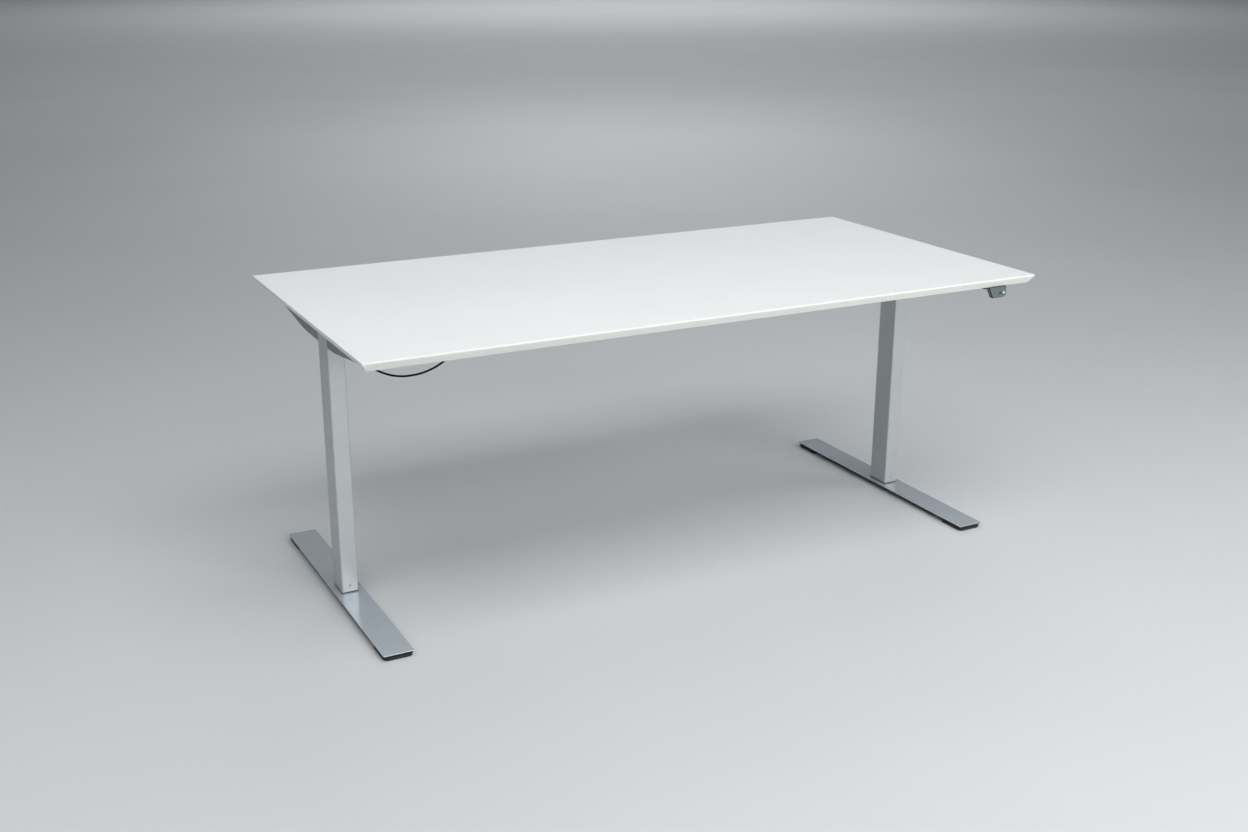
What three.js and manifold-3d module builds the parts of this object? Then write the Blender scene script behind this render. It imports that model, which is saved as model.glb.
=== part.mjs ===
// Height adjustable standing desk at its lowest height, in millimetres. +X runs to the right along the
// desktop, +Y to the back and +Z up. The origin is on the floor under the middle of the desktop.
//
// Each leg is an upside-down telescope. Its inner column stands on the foot plate, and its outer column
// hangs from the desktop. A gear motor in the front arm turns a spindle that climbs through a nut in the
// top of the inner column, so the outer column and everything above it rise by up to LIFT_STROKE.
import * as THREE from 'three';
import { mergeVertices } from 'three/addons/utils/BufferGeometryUtils.js';
import Module from 'manifold-3d';

// ---- Driving dimensions ----------------------------------------------------------------------------
const GAP = 0.3; // between pieces that touch
const HEIGHT = 728; // floor to the top of the desktop, columns closed
const LIFT_STROKE = 480;
const DESKTOP = { length: 1800, depth: 900, thickness: 22, lip: 4, bevel: 13.6, corner: 3, arris: 0.8 };
const UNDERSIDE = HEIGHT - DESKTOP.thickness;

const LEG_X = 826; // from the middle of the desk to each leg's axis
const SETBACK = 27; // how far the legs, rails and control box sit behind the desktop's middle line
const FOOT = { width: 75, length: 794, bottom: 9, top: 15, undercut: 5, corner: 3 };
const PAD = { length: 80, corner: 12 };
const OUTER = { width: 42, depth: 72, wall: 2, corner: 4, bottom: 18, top: UNDERSIDE - 4 };
const INNER = { width: 32, depth: 62, wall: 2, corner: 3, top: 653 };
const GLIDE_CLEARANCE = 0.3;
const GLIDE_HEIGHT = 40;

const ARM = { width: 40, sheet: 2.5, top: UNDERSIDE - GAP };
const FRONT_ARM = { rootDepth: 62.5, kinkReach: 96, kinkDepth: 60.5, tipReach: 300, tipDepth: 34.5 };
const REAR_ARM = { rootDepth: 62.3, kinkReach: 155, kinkDepth: 61.5, tipReach: 385, tipDepth: 34.3 };
const RAIL = { y: 180, depth: 30, height: 36, wall: 2, corner: 3, drop: 1, plate: 3, plateDepth: 66, plateLip: 0.6 };
const RAIL_BOLT = { reach: 24, hole: 3.3 };

const SPINDLE = { radius: 6, bottom: 62, stopRadius: 12, stopHeight: 6 };
const GEAR = { bottom: UNDERSIDE - 44, top: UNDERSIDE - 5 };
const MOTOR = { radius: 17, noseRadius: 9, drop: 22, end: 150, capEnd: 161, glandY: 155, glandRadius: 4.5 };
const BEARING = { radius: 12.7, height: 8 };
const FOOT_SCREW = { y: 18, headRadius: 7.6, headHeight: 4, shankRadius: 3.9, top: 40 };

const BOX = { left: -130, right: 130, front: -150, rear: -80, height: 38, wall: 2.5, corner: 6, tray: 2 };
const PORT = { drop: 20, motorY: -130, otherY: -104, insert: 8, plugLength: 34 };
const LEAD_RADIUS = 2.5;
const HANDSET_LEAD_RADIUS = 2;
const HANDSET = { front: -438, rear: -427, flangeLeft: 746, flangeRear: -396, flange: 3, right: 817 };
const BUTTON = { radius: 3.4, collarRadius: 4.3, proud: 1.4, drop: 17.5 };

// ---- Materials -------------------------------------------------------------------------------------
function material(color, roughness, metalness) {
  return new THREE.MeshStandardMaterial({ color, roughness, metalness });
}
const WHITE_LAMINATE = material(0xe9edee, 0.45, 0);
const SILVER_PAINT = material(0xa9adb2, 0.38, 0.6);
const FOOT_SILVER = material(0x9aa3ac, 0.25, 0.6);
const BARE_STEEL = material(0xb9bcc0, 0.35, 0.9);
const CAST_METAL = material(0x8d9094, 0.55, 0.8);
const BLACK_PLASTIC = material(0x17181a, 0.5, 0);
const BLACK_CABLE = material(0x0f0f10, 0.6, 0);
const GREY_GLIDE = material(0x2b2d30, 0.5, 0);
const HANDSET_GREY = material(0x6d7680, 0.2, 0.1);
const BUTTON_SILVER = material(0xd7dadb, 0.2, 0.7);
const CIRCUIT_GREEN = material(0x2f5d3a, 0.6, 0);
const BRASS = material(0xb08d4a, 0.35, 0.9);

// ---- Solids ----------------------------------------------------------------------------------------
const wasm = await Module();
wasm.setup();

function toSolid(geometry) {
  const bare = geometry.clone();
  bare.deleteAttribute('normal');
  bare.deleteAttribute('uv');
  const merged = mergeVertices(bare);
  const vertProperties = merged.attributes.position.array;
  const triVerts = new Uint32Array(merged.index.array);
  return new wasm.Manifold(new wasm.Mesh({ numProp: 3, vertProperties, triVerts }));
}

function toGeometry(solid) {
  const mesh = solid.getMesh();
  const geometry = new THREE.BufferGeometry();
  geometry.setAttribute('position', new THREE.BufferAttribute(mesh.vertProperties, 3));
  geometry.setIndex(new THREE.BufferAttribute(mesh.triVerts, 1));
  geometry.computeVertexNormals();
  return geometry;
}

function join(first, ...others) {
  return toGeometry(others.reduce((solid, other) => solid.add(toSolid(other)), toSolid(first)));
}

function cut(first, ...others) {
  return toGeometry(others.reduce((solid, other) => solid.subtract(toSolid(other)), toSolid(first)));
}

// A box given by its lowest and highest corners.
function block(low, high) {
  const geometry = new THREE.BoxGeometry(high[0] - low[0], high[1] - low[1], high[2] - low[2]);
  return geometry.translate((low[0] + high[0]) / 2, (low[1] + high[1]) / 2, (low[2] + high[2]) / 2);
}

// A round bar between two points.
function rod(from, to, radius, segments = 20) {
  const start = new THREE.Vector3(...from);
  const along = new THREE.Vector3(...to).sub(start);
  const geometry = new THREE.CylinderGeometry(radius, radius, along.length(), segments);
  geometry.applyQuaternion(new THREE.Quaternion().setFromUnitVectors(
    new THREE.Vector3(0, 1, 0), along.clone().normalize()));
  const middle = start.addScaledVector(along, 0.5);
  return geometry.translate(middle.x, middle.y, middle.z);
}

// A turned piece standing on the Z axis, from its profile of [radius, z] going up.
function turned(profile, segments = 24) {
  const points = profile.map(([radius, z]) => new THREE.Vector2(radius, z));
  return new THREE.LatheGeometry(points, segments).rotateX(Math.PI / 2);
}

// A rectangle with round corners about the origin, as points going counterclockwise.
function roundedLoop(width, depth, radius, cornerSteps = 3) {
  const points = [];
  const corners = [[1, 1, 0], [-1, 1, 1], [-1, -1, 2], [1, -1, 3]];
  for (const [sideX, sideY, quarter] of corners) {
    for (let step = 0; step <= cornerSteps; step += 1) {
      const angle = (quarter + step / cornerSteps) * Math.PI / 2;
      points.push(new THREE.Vector2(
        sideX * (width / 2 - radius) + radius * Math.cos(angle),
        sideY * (depth / 2 - radius) + radius * Math.sin(angle)));
    }
  }
  return points;
}

function prism(loop, bottom, top, holes = []) {
  const shape = new THREE.Shape(loop);
  shape.holes = holes.map((hole) => new THREE.Path(hole));
  const geometry = new THREE.ExtrudeGeometry(shape, { depth: top - bottom, bevelEnabled: false });
  return geometry.translate(0, 0, bottom);
}

// A tube of rounded rectangular section standing on the Z axis.
function rectTube({ width, depth, wall, corner }, bottom, top) {
  const inside = roundedLoop(width - 2 * wall, depth - 2 * wall, corner - wall + 1);
  return prism(roundedLoop(width, depth, corner), bottom, top, [inside]);
}

// A closed solid through loops of equally many points, each given with its height, going up.
function layered(levels) {
  const count = levels[0].loop.length;
  const positions = levels.flatMap(({ z, loop }) => loop.flatMap((point) => [point.x, point.y, z]));
  const index = [];
  for (let level = 0; level + 1 < levels.length; level += 1) {
    for (let i = 0; i < count; i += 1) {
      const a = level * count + i;
      const b = level * count + (i + 1) % count;
      index.push(a, b, b + count, a, b + count, a + count);
    }
  }
  const lastLevel = (levels.length - 1) * count;
  for (const [a, b, c] of THREE.ShapeUtils.triangulateShape(levels[0].loop, [])) {
    index.push(a, c, b, lastLevel + a, lastLevel + b, lastLevel + c);
  }
  const geometry = new THREE.BufferGeometry();
  geometry.setAttribute('position', new THREE.Float32BufferAttribute(positions, 3));
  geometry.setIndex(index);
  geometry.computeVertexNormals();
  return geometry;
}

// A round cable through a list of points, with its two ends cut square.
function cable(points, radius, sides, steps) {
  const route = new THREE.CatmullRomCurve3(points.map((point) => new THREE.Vector3(...point)));
  const section = new THREE.Shape();
  for (let side = 0; side < sides; side += 1) {
    const angle = 2 * Math.PI * side / sides;
    section[side ? 'lineTo' : 'moveTo'](radius * Math.cos(angle), radius * Math.sin(angle));
  }
  return new THREE.ExtrudeGeometry(section, { steps, extrudePath: route });
}

const desk = new THREE.Group();

function add(name, geometry, look, parent = desk) {
  const mesh = new THREE.Mesh(geometry, look);
  mesh.name = name;
  parent.add(mesh);
}

// ---- Desktop ---------------------------------------------------------------------------------------
// The edge has a short upright lip, and below it a bevel that runs inwards to the underside.
function desktop() {
  const outline = (inset) => roundedLoop(
    DESKTOP.length - 2 * inset, DESKTOP.depth - 2 * inset, DESKTOP.corner);
  return layered([
    { z: UNDERSIDE, loop: outline(DESKTOP.bevel) },
    { z: HEIGHT - DESKTOP.lip, loop: outline(0) },
    { z: HEIGHT - DESKTOP.arris, loop: outline(0) },
    { z: HEIGHT, loop: outline(DESKTOP.arris) },
  ]);
}

// ---- Foot ------------------------------------------------------------------------------------------
function footScrew() {
  const { headRadius, headHeight, shankRadius, top } = FOOT_SCREW;
  const bottom = FOOT.bottom + GAP;
  return turned([
    [0, bottom], [headRadius, bottom], [shankRadius, bottom + headHeight], [shankRadius, top], [0, top],
  ], 16);
}

function footPlate() {
  const outline = (inset) => roundedLoop(FOOT.width - 2 * inset, FOOT.length - 2 * inset, FOOT.corner);
  const plate = layered([
    { z: FOOT.bottom, loop: outline(FOOT.undercut) },
    { z: FOOT.top - 1, loop: outline(0.4) },
    { z: FOOT.top - 0.4, loop: outline(0) },
    { z: FOOT.top, loop: outline(0.5) },
  ]);
  const { headRadius, headHeight, shankRadius, y } = FOOT_SCREW;
  const sinkRadius = headRadius + 2 * GAP;
  const holeRadius = shankRadius + GAP + 0.1;
  const sink = turned([
    [0, FOOT.bottom - 1], [sinkRadius, FOOT.bottom - 1], [sinkRadius, FOOT.bottom + GAP],
    [holeRadius, FOOT.bottom + GAP + headHeight], [holeRadius, FOOT.top + 1], [0, FOOT.top + 1],
  ], 16);
  return cut(plate, sink.clone().translate(0, -y, 0), sink.clone().translate(0, y, 0));
}

// A pad under one end of the foot plate, drawn in towards the floor on all sides.
function footPad(side) {
  const outline = (inset) => roundedLoop(
    FOOT.width - 2 * inset, PAD.length - 2 * (inset - FOOT.undercut), PAD.corner, 4);
  const pad = layered([
    { z: 0, loop: outline(4.2) },
    { z: 1.5, loop: outline(2.6) },
    { z: FOOT.bottom - GAP, loop: outline(2.2) },
  ]);
  return pad.translate(0, side * (FOOT.length - 2 * FOOT.undercut - PAD.length) / 2, 0);
}

// ---- Column ----------------------------------------------------------------------------------------
const INSIDE_INNER = { width: INNER.width - 2 * INNER.wall, depth: INNER.depth - 2 * INNER.wall };
const INSIDE_OUTER = { width: OUTER.width - 2 * OUTER.wall, depth: OUTER.depth - 2 * OUTER.wall };
const PEG_HEIGHT = OUTER.bottom + 16;

// A loop that fits inside the given opening.
function fitted({ width, depth }, corner) {
  return roundedLoop(width - 2 * GLIDE_CLEARANCE, depth - 2 * GLIDE_CLEARANCE, corner);
}

// The loop that clears the outside of the inner column.
function aroundInner() {
  return roundedLoop(
    INNER.width + 2 * GLIDE_CLEARANCE, INNER.depth + 2 * GLIDE_CLEARANCE, INNER.corner);
}

function outerColumn() {
  const front = -OUTER.depth / 2;
  const motorZ = UNDERSIDE - MOTOR.drop;
  return cut(
    rectTube(OUTER, OUTER.bottom, OUTER.top),
    rod([0, front - 1, motorZ], [0, front + 6, motorZ], MOTOR.noseRadius + 1),
    rod([0, front - 1, PEG_HEIGHT], [0, front + 6, PEG_HEIGHT], 2.1, 12));
}

// The sleeve in the mouth of the outer column, with a flange under the column's end and a locking peg.
function lowerGlide() {
  const flangeTop = OUTER.bottom - GAP;
  const front = -INSIDE_OUTER.depth / 2;
  return join(
    prism(fitted(INSIDE_OUTER, 2.5), flangeTop - 1, flangeTop + GLIDE_HEIGHT, [aroundInner()]),
    prism(roundedLoop(OUTER.width, OUTER.depth, OUTER.corner), flangeTop - 1.5, flangeTop,
      [aroundInner()]),
    rod([0, front + 1.5, PEG_HEIGHT], [0, front - 1.2, PEG_HEIGHT], 1.7, 12));
}

function upperGlide() {
  return prism(fitted(INSIDE_OUTER, 2.5), INNER.top - GLIDE_HEIGHT, INNER.top, [aroundInner()]);
}

function footBlock() {
  const { y, shankRadius, top } = FOOT_SCREW;
  const low = FOOT.top + GAP;
  const hole = (holeY) => rod([0, holeY, low - 1], [0, holeY, top + 3], shankRadius + GAP, 16);
  return cut(prism(fitted(INSIDE_INNER, 2), low, low + GLIDE_HEIGHT), hole(-y), hole(y));
}

// ---- Drive -----------------------------------------------------------------------------------------
const NUT = { bottom: INNER.top - 34, top: INNER.top - 2 };
const SPINDLE_HOLE = SPINDLE.radius + GAP;

function spindleNut() {
  return cut(
    prism(fitted(INSIDE_INNER, 2), NUT.bottom, NUT.top),
    rod([0, 0, NUT.bottom - 1], [0, 0, NUT.top + 1], SPINDLE_HOLE));
}

// The spindle keeps its stop below the nut even when the desk is fully raised.
function spindle() {
  const { radius, bottom, stopRadius, stopHeight } = SPINDLE;
  if (bottom + stopHeight + LIFT_STROKE >= NUT.bottom) throw new Error('the spindle is too short');
  const stopTop = bottom + stopHeight;
  const top = GEAR.bottom + 27;
  return turned([
    [0, bottom], [stopRadius - 1, bottom], [stopRadius, bottom + 1], [stopRadius, stopTop],
    [radius, stopTop], [radius, top], [0, top],
  ], 20);
}

function gearHousing() {
  const motorZ = UNDERSIDE - MOTOR.drop;
  const front = -INSIDE_OUTER.depth / 2;
  return cut(
    prism(fitted(INSIDE_OUTER, 2.5), GEAR.bottom, GEAR.top),
    rod([0, 0, GEAR.bottom - 1], [0, 0, GEAR.bottom + BEARING.height + GAP], BEARING.radius + GAP),
    rod([0, 0, GEAR.bottom - 1], [0, 0, GEAR.bottom + 28], SPINDLE_HOLE),
    rod([0, front - 1, motorZ], [0, front + 11, motorZ], MOTOR.noseRadius + GAP));
}

function thrustBearing() {
  return cut(
    rod([0, 0, GEAR.bottom], [0, 0, GEAR.bottom + BEARING.height], BEARING.radius, 24),
    rod([0, 0, GEAR.bottom - 1], [0, 0, GEAR.bottom + BEARING.height + 1], SPINDLE_HOLE));
}

// The motor lies along the front arm, its nose through the column's wall into the gear housing.
function motor() {
  const axisZ = UNDERSIDE - MOTOR.drop;
  const nose = -INSIDE_OUTER.depth / 2 + 10;
  const shoulder = -OUTER.depth / 2 - 2 * GAP;
  const profile = [
    [0, -MOTOR.end], [MOTOR.radius, -MOTOR.end], [MOTOR.radius, shoulder - 6],
    [MOTOR.radius - 3, shoulder], [MOTOR.noseRadius, shoulder], [MOTOR.noseRadius, nose], [0, nose],
  ];
  return turned(profile).rotateX(-Math.PI / 2).translate(0, 0, axisZ);
}

function motorCap() {
  const axisZ = UNDERSIDE - MOTOR.drop;
  const inner = -MOTOR.end - GAP;
  const profile = [
    [0, -MOTOR.capEnd], [MOTOR.radius - 3, -MOTOR.capEnd], [MOTOR.radius, 3 - MOTOR.capEnd],
    [MOTOR.radius, inner], [0, inner],
  ];
  const glandTop = axisZ - MOTOR.radius + 3;
  return join(
    turned(profile).rotateX(-Math.PI / 2).translate(0, 0, axisZ),
    rod([0, -MOTOR.glandY, glandTop], [0, -MOTOR.glandY, UNDERSIDE - 43], MOTOR.glandRadius, 16));
}

// ---- Arms and rails --------------------------------------------------------------------------------
const ARM_ROOT = OUTER.depth / 2 + GAP;
const DESKTOP_SCREW_HOLE = 2.8;

// Turns a solid drawn as reach along X and height along Y to lie along +Y or -Y, about the leg's axis.
function alongY(geometry, side) {
  const basis = new THREE.Matrix4().makeBasis(
    new THREE.Vector3(0, side, 0), new THREE.Vector3(0, 0, 1), new THREE.Vector3(side, 0, 0));
  return geometry.applyMatrix4(basis);
}

// An arm is a channel of folded sheet, open below, that gets shallower from the column to its tip.
// deskSide is the direction in X of the other leg, where the rail is bolted to the arm's wall.
function arm({ rootDepth, kinkReach, kinkDepth, tipReach, tipDepth }, side, deskSide) {
  const shape = new THREE.Shape();
  const bend = 45; // how far each side of the kink its curve reaches
  const before = rootDepth + (kinkDepth - rootDepth) * (kinkReach - bend - ARM_ROOT)
    / (kinkReach - ARM_ROOT);
  const after = kinkDepth + (tipDepth - kinkDepth) * bend / (tipReach - kinkReach);
  shape.moveTo(ARM_ROOT, ARM.top);
  shape.lineTo(ARM_ROOT, UNDERSIDE - rootDepth);
  shape.lineTo(kinkReach - bend, UNDERSIDE - before);
  shape.quadraticCurveTo(kinkReach, UNDERSIDE - kinkDepth, kinkReach + bend, UNDERSIDE - after);
  shape.lineTo(tipReach - 5, UNDERSIDE - tipDepth);
  shape.quadraticCurveTo(tipReach, UNDERSIDE - tipDepth, tipReach, UNDERSIDE - tipDepth + 5);
  shape.lineTo(tipReach, ARM.top);
  const full = new THREE.ExtrudeGeometry(
    shape, { depth: ARM.width, bevelEnabled: false, curveSegments: 6 });
  full.translate(0, 0, -ARM.width / 2);
  const half = ARM.width / 2 - ARM.sheet;
  const web = ARM.top - ARM.sheet;
  const pocket = block([ARM_ROOT - 1, UNDERSIDE - 90, -half], [tipReach - ARM.sheet, web, half]);
  const channel = alongY(cut(full, pocket), side);
  const screwReaches = [kinkReach + 75, (kinkReach + 75 + tipReach - 22) / 2, tipReach - 22];
  const screwHoles = screwReaches.map((reach) => rod(
    [0, side * reach, web - 1], [0, side * reach, ARM.top + 1], DESKTOP_SCREW_HOLE, 10));
  const boltHoles = [-1, 1].map((end) => {
    const y = side * (RAIL.y + end * RAIL_BOLT.reach);
    const z = UNDERSIDE - RAIL.drop - RAIL.height / 2;
    return rod([deskSide * (half - 1), y, z], [deskSide * (half + 5), y, z], RAIL_BOLT.hole, 10);
  });
  return cut(channel, ...screwHoles, ...boltHoles);
}

// A rail joins the two legs. It is a rectangular tube with a bolting plate welded on each end.
function rail() {
  const top = UNDERSIDE - RAIL.drop;
  const middle = top - RAIL.height / 2;
  const end = LEG_X - ARM.width / 2 - GAP;
  const inner = end - RAIL.plate;
  const section = { width: RAIL.height, depth: RAIL.depth, wall: RAIL.wall, corner: RAIL.corner };
  const tube = rectTube(section, -inner - 1, inner + 1).rotateY(Math.PI / 2).translate(0, 0, middle);
  const plates = [-1, 1].map((side) => block(
    [Math.min(side * inner, side * end), -RAIL.plateDepth / 2, top - RAIL.height - RAIL.plateLip],
    [Math.max(side * inner, side * end), RAIL.plateDepth / 2, top + RAIL.plateLip]));
  const through = (y, radius) => [-1, 1].map((side) => rod(
    [side * (inner - 2), y, middle], [side * (end + 1), y, middle], radius, 12));
  return cut(
    join(tube, ...plates),
    ...through(0, 6), ...through(-RAIL_BOLT.reach, RAIL_BOLT.hole), ...through(RAIL_BOLT.reach, RAIL_BOLT.hole));
}

// ---- Control box -----------------------------------------------------------------------------------
const BOX_MIDDLE = [(BOX.left + BOX.right) / 2, (BOX.front + BOX.rear) / 2];
const BOX_SIZE = [BOX.right - BOX.left, BOX.rear - BOX.front];
const BOX_BOTTOM = UNDERSIDE - BOX.height;
const TRAY_BOTTOM = UNDERSIDE - GAP - BOX.tray;
const PORT_Z = UNDERSIDE - PORT.drop;
const MOTOR_PLUG = { width: 15, height: 11 };
const HANDSET_PLUG = { width: 12, height: 10 };
const INLET = { width: 28, height: 20, depth: 14 };

// A box centred on a port, from x = from to x = to.
function atPort(y, { width, height }, from, to, clearance = 0) {
  return block(
    [from, y - width / 2 - clearance, PORT_Z - height / 2 - clearance],
    [to, y + width / 2 + clearance, PORT_Z + height / 2 + clearance]);
}

function controlBoxCover() {
  const shell = prism(roundedLoop(...BOX_SIZE, BOX.corner), BOX_BOTTOM, TRAY_BOTTOM - GAP);
  const cavity = prism(
    roundedLoop(BOX_SIZE[0] - 2 * BOX.wall, BOX_SIZE[1] - 2 * BOX.wall, BOX.corner - BOX.wall),
    BOX_BOTTOM + BOX.wall, UNDERSIDE);
  const place = (geometry) => geometry.translate(...BOX_MIDDLE, 0);
  return cut(
    place(shell), place(cavity),
    atPort(PORT.motorY, MOTOR_PLUG, BOX.left - 1, BOX.left + 5, GAP),
    atPort(PORT.otherY, INLET, BOX.left - 1, BOX.left + 5, GAP),
    atPort(PORT.motorY, MOTOR_PLUG, BOX.right - 5, BOX.right + 1, GAP),
    atPort(PORT.otherY, HANDSET_PLUG, BOX.right - 5, BOX.right + 1, GAP));
}

// The flat lid over the cover, with four ears that are screwed to the desktop.
function controlBoxTray() {
  const ear = { width: 16, reach: 12, inset: 24 };
  const top = UNDERSIDE - GAP;
  const lid = prism(roundedLoop(...BOX_SIZE, BOX.corner), TRAY_BOTTOM, top).translate(...BOX_MIDDLE, 0);
  const ears = [];
  const holes = [];
  for (const x of [BOX.left + ear.inset, BOX.right - ear.inset]) {
    ears.push(block(
      [x - ear.width / 2, BOX.front - ear.reach + 3, TRAY_BOTTOM],
      [x + ear.width / 2, BOX.rear + ear.reach, top]));
    for (const y of [BOX.front - ear.reach / 2 + 3, BOX.rear + ear.reach / 2]) {
      holes.push(rod([x, y, TRAY_BOTTOM - 1], [x, y, top + 1], 2.2, 10));
    }
  }
  return cut(join(lid, ...ears), ...holes);
}

function circuitBoard() {
  const z = BOX_BOTTOM + 12;
  const [x, y] = BOX_MIDDLE;
  return join(
    block([x - 105, y - 30, z], [x + 105, y + 30, z + 1.6]),
    block([x - 30, y - 22, z + 1], [x + 20, y + 22, TRAY_BOTTOM - 3]),
    rod([x + 55, y, z + 1], [x + 55, y, TRAY_BOTTOM - 4], 11),
    rod([x + 80, y - 12, z + 1], [x + 80, y - 12, TRAY_BOTTOM - 8], 6, 12),
    block([x - 88, y - 26, z + 1], [x - 60, y + 6, z + 9]));
}

function mainsInlet() {
  const from = BOX.left - 1;
  const to = from + INLET.depth;
  const hollow = atPort(PORT.otherY, { width: 23, height: 15 }, from - 1, to - 3);
  const pins = [-7, 0, 7].map((offset) => atPort(
    PORT.otherY + offset, { width: 1.8, height: 4 }, from + 2, to - 1));
  return join(cut(atPort(PORT.otherY, INLET, from, to), hollow), ...pins);
}

// A plug standing out of the box's left (-1) or right (+1) end.
function plug(side, y, size) {
  const face = side < 0 ? BOX.left : BOX.right;
  const inside = face - side * PORT.insert;
  const outside = inside + side * PORT.plugLength;
  const grip = { width: size.width + 4, height: size.height + 3 };
  return join(
    atPort(y, size, Math.min(inside, face + side), Math.max(inside, face + side)),
    atPort(y, grip, Math.min(face + side, outside), Math.max(face + side, outside)));
}

// ---- Handset ---------------------------------------------------------------------------------------
const UP_BUTTON_X = 807.5;
const DOWN_BUTTON_X = 796;
const HANDSET_GLAND = { x: 790, drop: 14, radius: 3.5, end: -413 };

// The outline of the hanging body, with a slanting left side and one round corner, shrunk by inset.
function handsetOutline(inset, top = UNDERSIDE - HANDSET.flange - GAP) {
  const bottom = UNDERSIDE - 30 + inset;
  const right = HANDSET.right - inset;
  const round = 8;
  const shape = new THREE.Shape();
  shape.moveTo(758 + inset * 1.3, top);
  shape.lineTo(773.5 + inset * 0.6, bottom);
  shape.lineTo(right - round, bottom);
  shape.absarc(right - round, bottom + round, round, -Math.PI / 2, 0, false);
  shape.lineTo(right, top);
  return shape;
}

// A slab of an outline drawn in X and Z, between two places in Y.
function slab(shape, front, rear) {
  const geometry = new THREE.ExtrudeGeometry(
    shape, { depth: rear - front, bevelEnabled: false, curveSegments: 5 });
  return geometry.rotateX(Math.PI / 2).translate(0, rear, 0);
}

function handsetShell() {
  const flange = block(
    [HANDSET.flangeLeft, HANDSET.front, UNDERSIDE - GAP - HANDSET.flange],
    [HANDSET.right, HANDSET.flangeRear, UNDERSIDE - GAP]);
  const body = slab(handsetOutline(0), HANDSET.front, HANDSET.rear);
  const bridge = block(
    [762, HANDSET.front, UNDERSIDE - 8], [HANDSET.right, HANDSET.rear, UNDERSIDE - 2]);
  const cavity = slab(handsetOutline(4), HANDSET.front - 1, HANDSET.rear - 3);
  const glandZ = UNDERSIDE - HANDSET_GLAND.drop;
  const gland = rod(
    [HANDSET_GLAND.x, HANDSET.rear - 2, glandZ],
    [HANDSET_GLAND.x, HANDSET_GLAND.end, glandZ], HANDSET_GLAND.radius, 16);
  const screwHoles = [755, 808].map((x) => rod(
    [x, -405, UNDERSIDE - 10], [x, -405, UNDERSIDE + 1], 2.2, 10));
  const lowered = cavity.translate(0, 0, -4);
  return cut(join(flange, body, bridge, gland), lowered, ...screwHoles);
}

function handsetFace() {
  const front = HANDSET.front - GAP - 2;
  const z = UNDERSIDE - BUTTON.drop;
  const holes = [UP_BUTTON_X, DOWN_BUTTON_X].map((x) => rod(
    [x, front - 1, z], [x, HANDSET.front + 1, z], BUTTON.radius + GAP, 20));
  return cut(slab(handsetOutline(1.5, UNDERSIDE - 1), front, HANDSET.front - GAP), ...holes);
}

function button(x) {
  const face = HANDSET.front - GAP;
  const z = UNDERSIDE - BUTTON.drop;
  const tip = face - 2 - BUTTON.proud;
  const profile = [
    [0, -2.2], [BUTTON.collarRadius, -2.2], [BUTTON.collarRadius, -1], [BUTTON.radius, -1],
    [BUTTON.radius, -tip + face - 0.9], [BUTTON.radius - 1, -tip + face - 0.2], [0, -tip + face],
  ];
  return turned(profile, 20).rotateX(Math.PI / 2).translate(x, face, z);
}

// ---- Leads and their clips -------------------------------------------------------------------------
const RAIL_LEAD_Y = -160.5;
const RAIL_LEAD_DROP = 24;
const HANDSET_LEAD_DROP = 4.3;

// Routes are lists of [x, y from the legs' middle line, distance below the underside].
const LEFT_LEAD = [
  [-826, -155, 43.3], [-826, -155, 45.5], [-825.2, -155, 51.7], [-822.8, -155, 57.5],
  [-819, -155, 62.5], [-814, -155, 66.5], [-800, -155, 74.9], [-788, -155.2, 82.4],
  [-776, -155.3, 89.9], [-764, -155.5, 97], [-750, -155.7, 104.4], [-736, -156, 110.4],
  [-721, -156.3, 114.8], [-706, -156.7, 117.3], [-690, -157.2, 118], [-668, -157.8, 116.7],
  [-645, -158.4, 111.8], [-622, -159, 103], [-601, -159.4, 90.9], [-583, -159.8, 76.5],
  [-569, -160.1, 62], [-557.5, -160.3, 49.2], [-547, -160.5, 38.6], [-536, -160.5, 30.4],
  [-522, -160.5, 25.4], [-506, -160.5, 24], [-485, -160.5, 24], [-380, -160.5, 24], [-255, -160.5, 24],
  [-240, -160.5, 24], [-227.5, -158.5, 23.7], [-215, -152.9, 23], [-202.5, -145.3, 22],
  [-190, -137.6, 21], [-177.5, -132, 20.3], [-165, -130, 20], [-156.5, -130, 20],
];
const RIGHT_LEAD = [
  [826, -155, 43.3], [826, -155, 55], [824.1, -155.2, 64.6], [818.7, -155.5, 72.7],
  [810.6, -155.9, 78.1], [801, -156.3, 80], [791.4, -156.8, 78.1], [783.3, -157.3, 72.7],
  [777.6, -157.9, 64.5], [772.5, -158.5, 55.6], [767.2, -159.1, 46.4], [761.4, -159.7, 36.9],
  [755.9, -160, 30.2], [748.3, -160.3, 25.6], [739.8, -160.5, 24], [724, -160.5, 24], [560, -160.5, 24],
  [400, -160.5, 24], [255, -160.5, 24], [240, -160.5, 24], [227.5, -158.5, 23.7], [215, -152.9, 23],
  [202.5, -145.3, 22], [190, -137.6, 21], [177.5, -132, 20.3], [165, -130, 20], [156.5, -130, 20],
];
const HANDSET_LEAD = [
  [790, -439.7, 14], [790, -429, 13.6], [788, -414.9, 11.2], [782, -400.5, 7.6], [770, -385.9, 5.2],
  [750, -372.8, 4.4], [700, -354.9, 4.3], [600, -328.8, 4.3], [500, -302.7, 4.3], [400, -276.6, 4.3],
  [310, -253, 4.5], [288, -243, 7], [276, -231, 13.5], [269, -219, 23], [264, -206, 33.5],
  [260, -192, 40.5], [256.5, -177, 42], [253, -163, 38.5], [249, -150, 31], [242, -136, 24.5],
  [231, -122, 21], [215, -111, 20.2], [196, -105, 20], [176, -104, 20], [156.5, -104, 20],
];

function lead(route, radius, sides, steps) {
  const points = route.map(([x, y, below]) => [x, y, UNDERSIDE - below]);
  return cable(points, radius, sides, steps);
}

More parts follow.
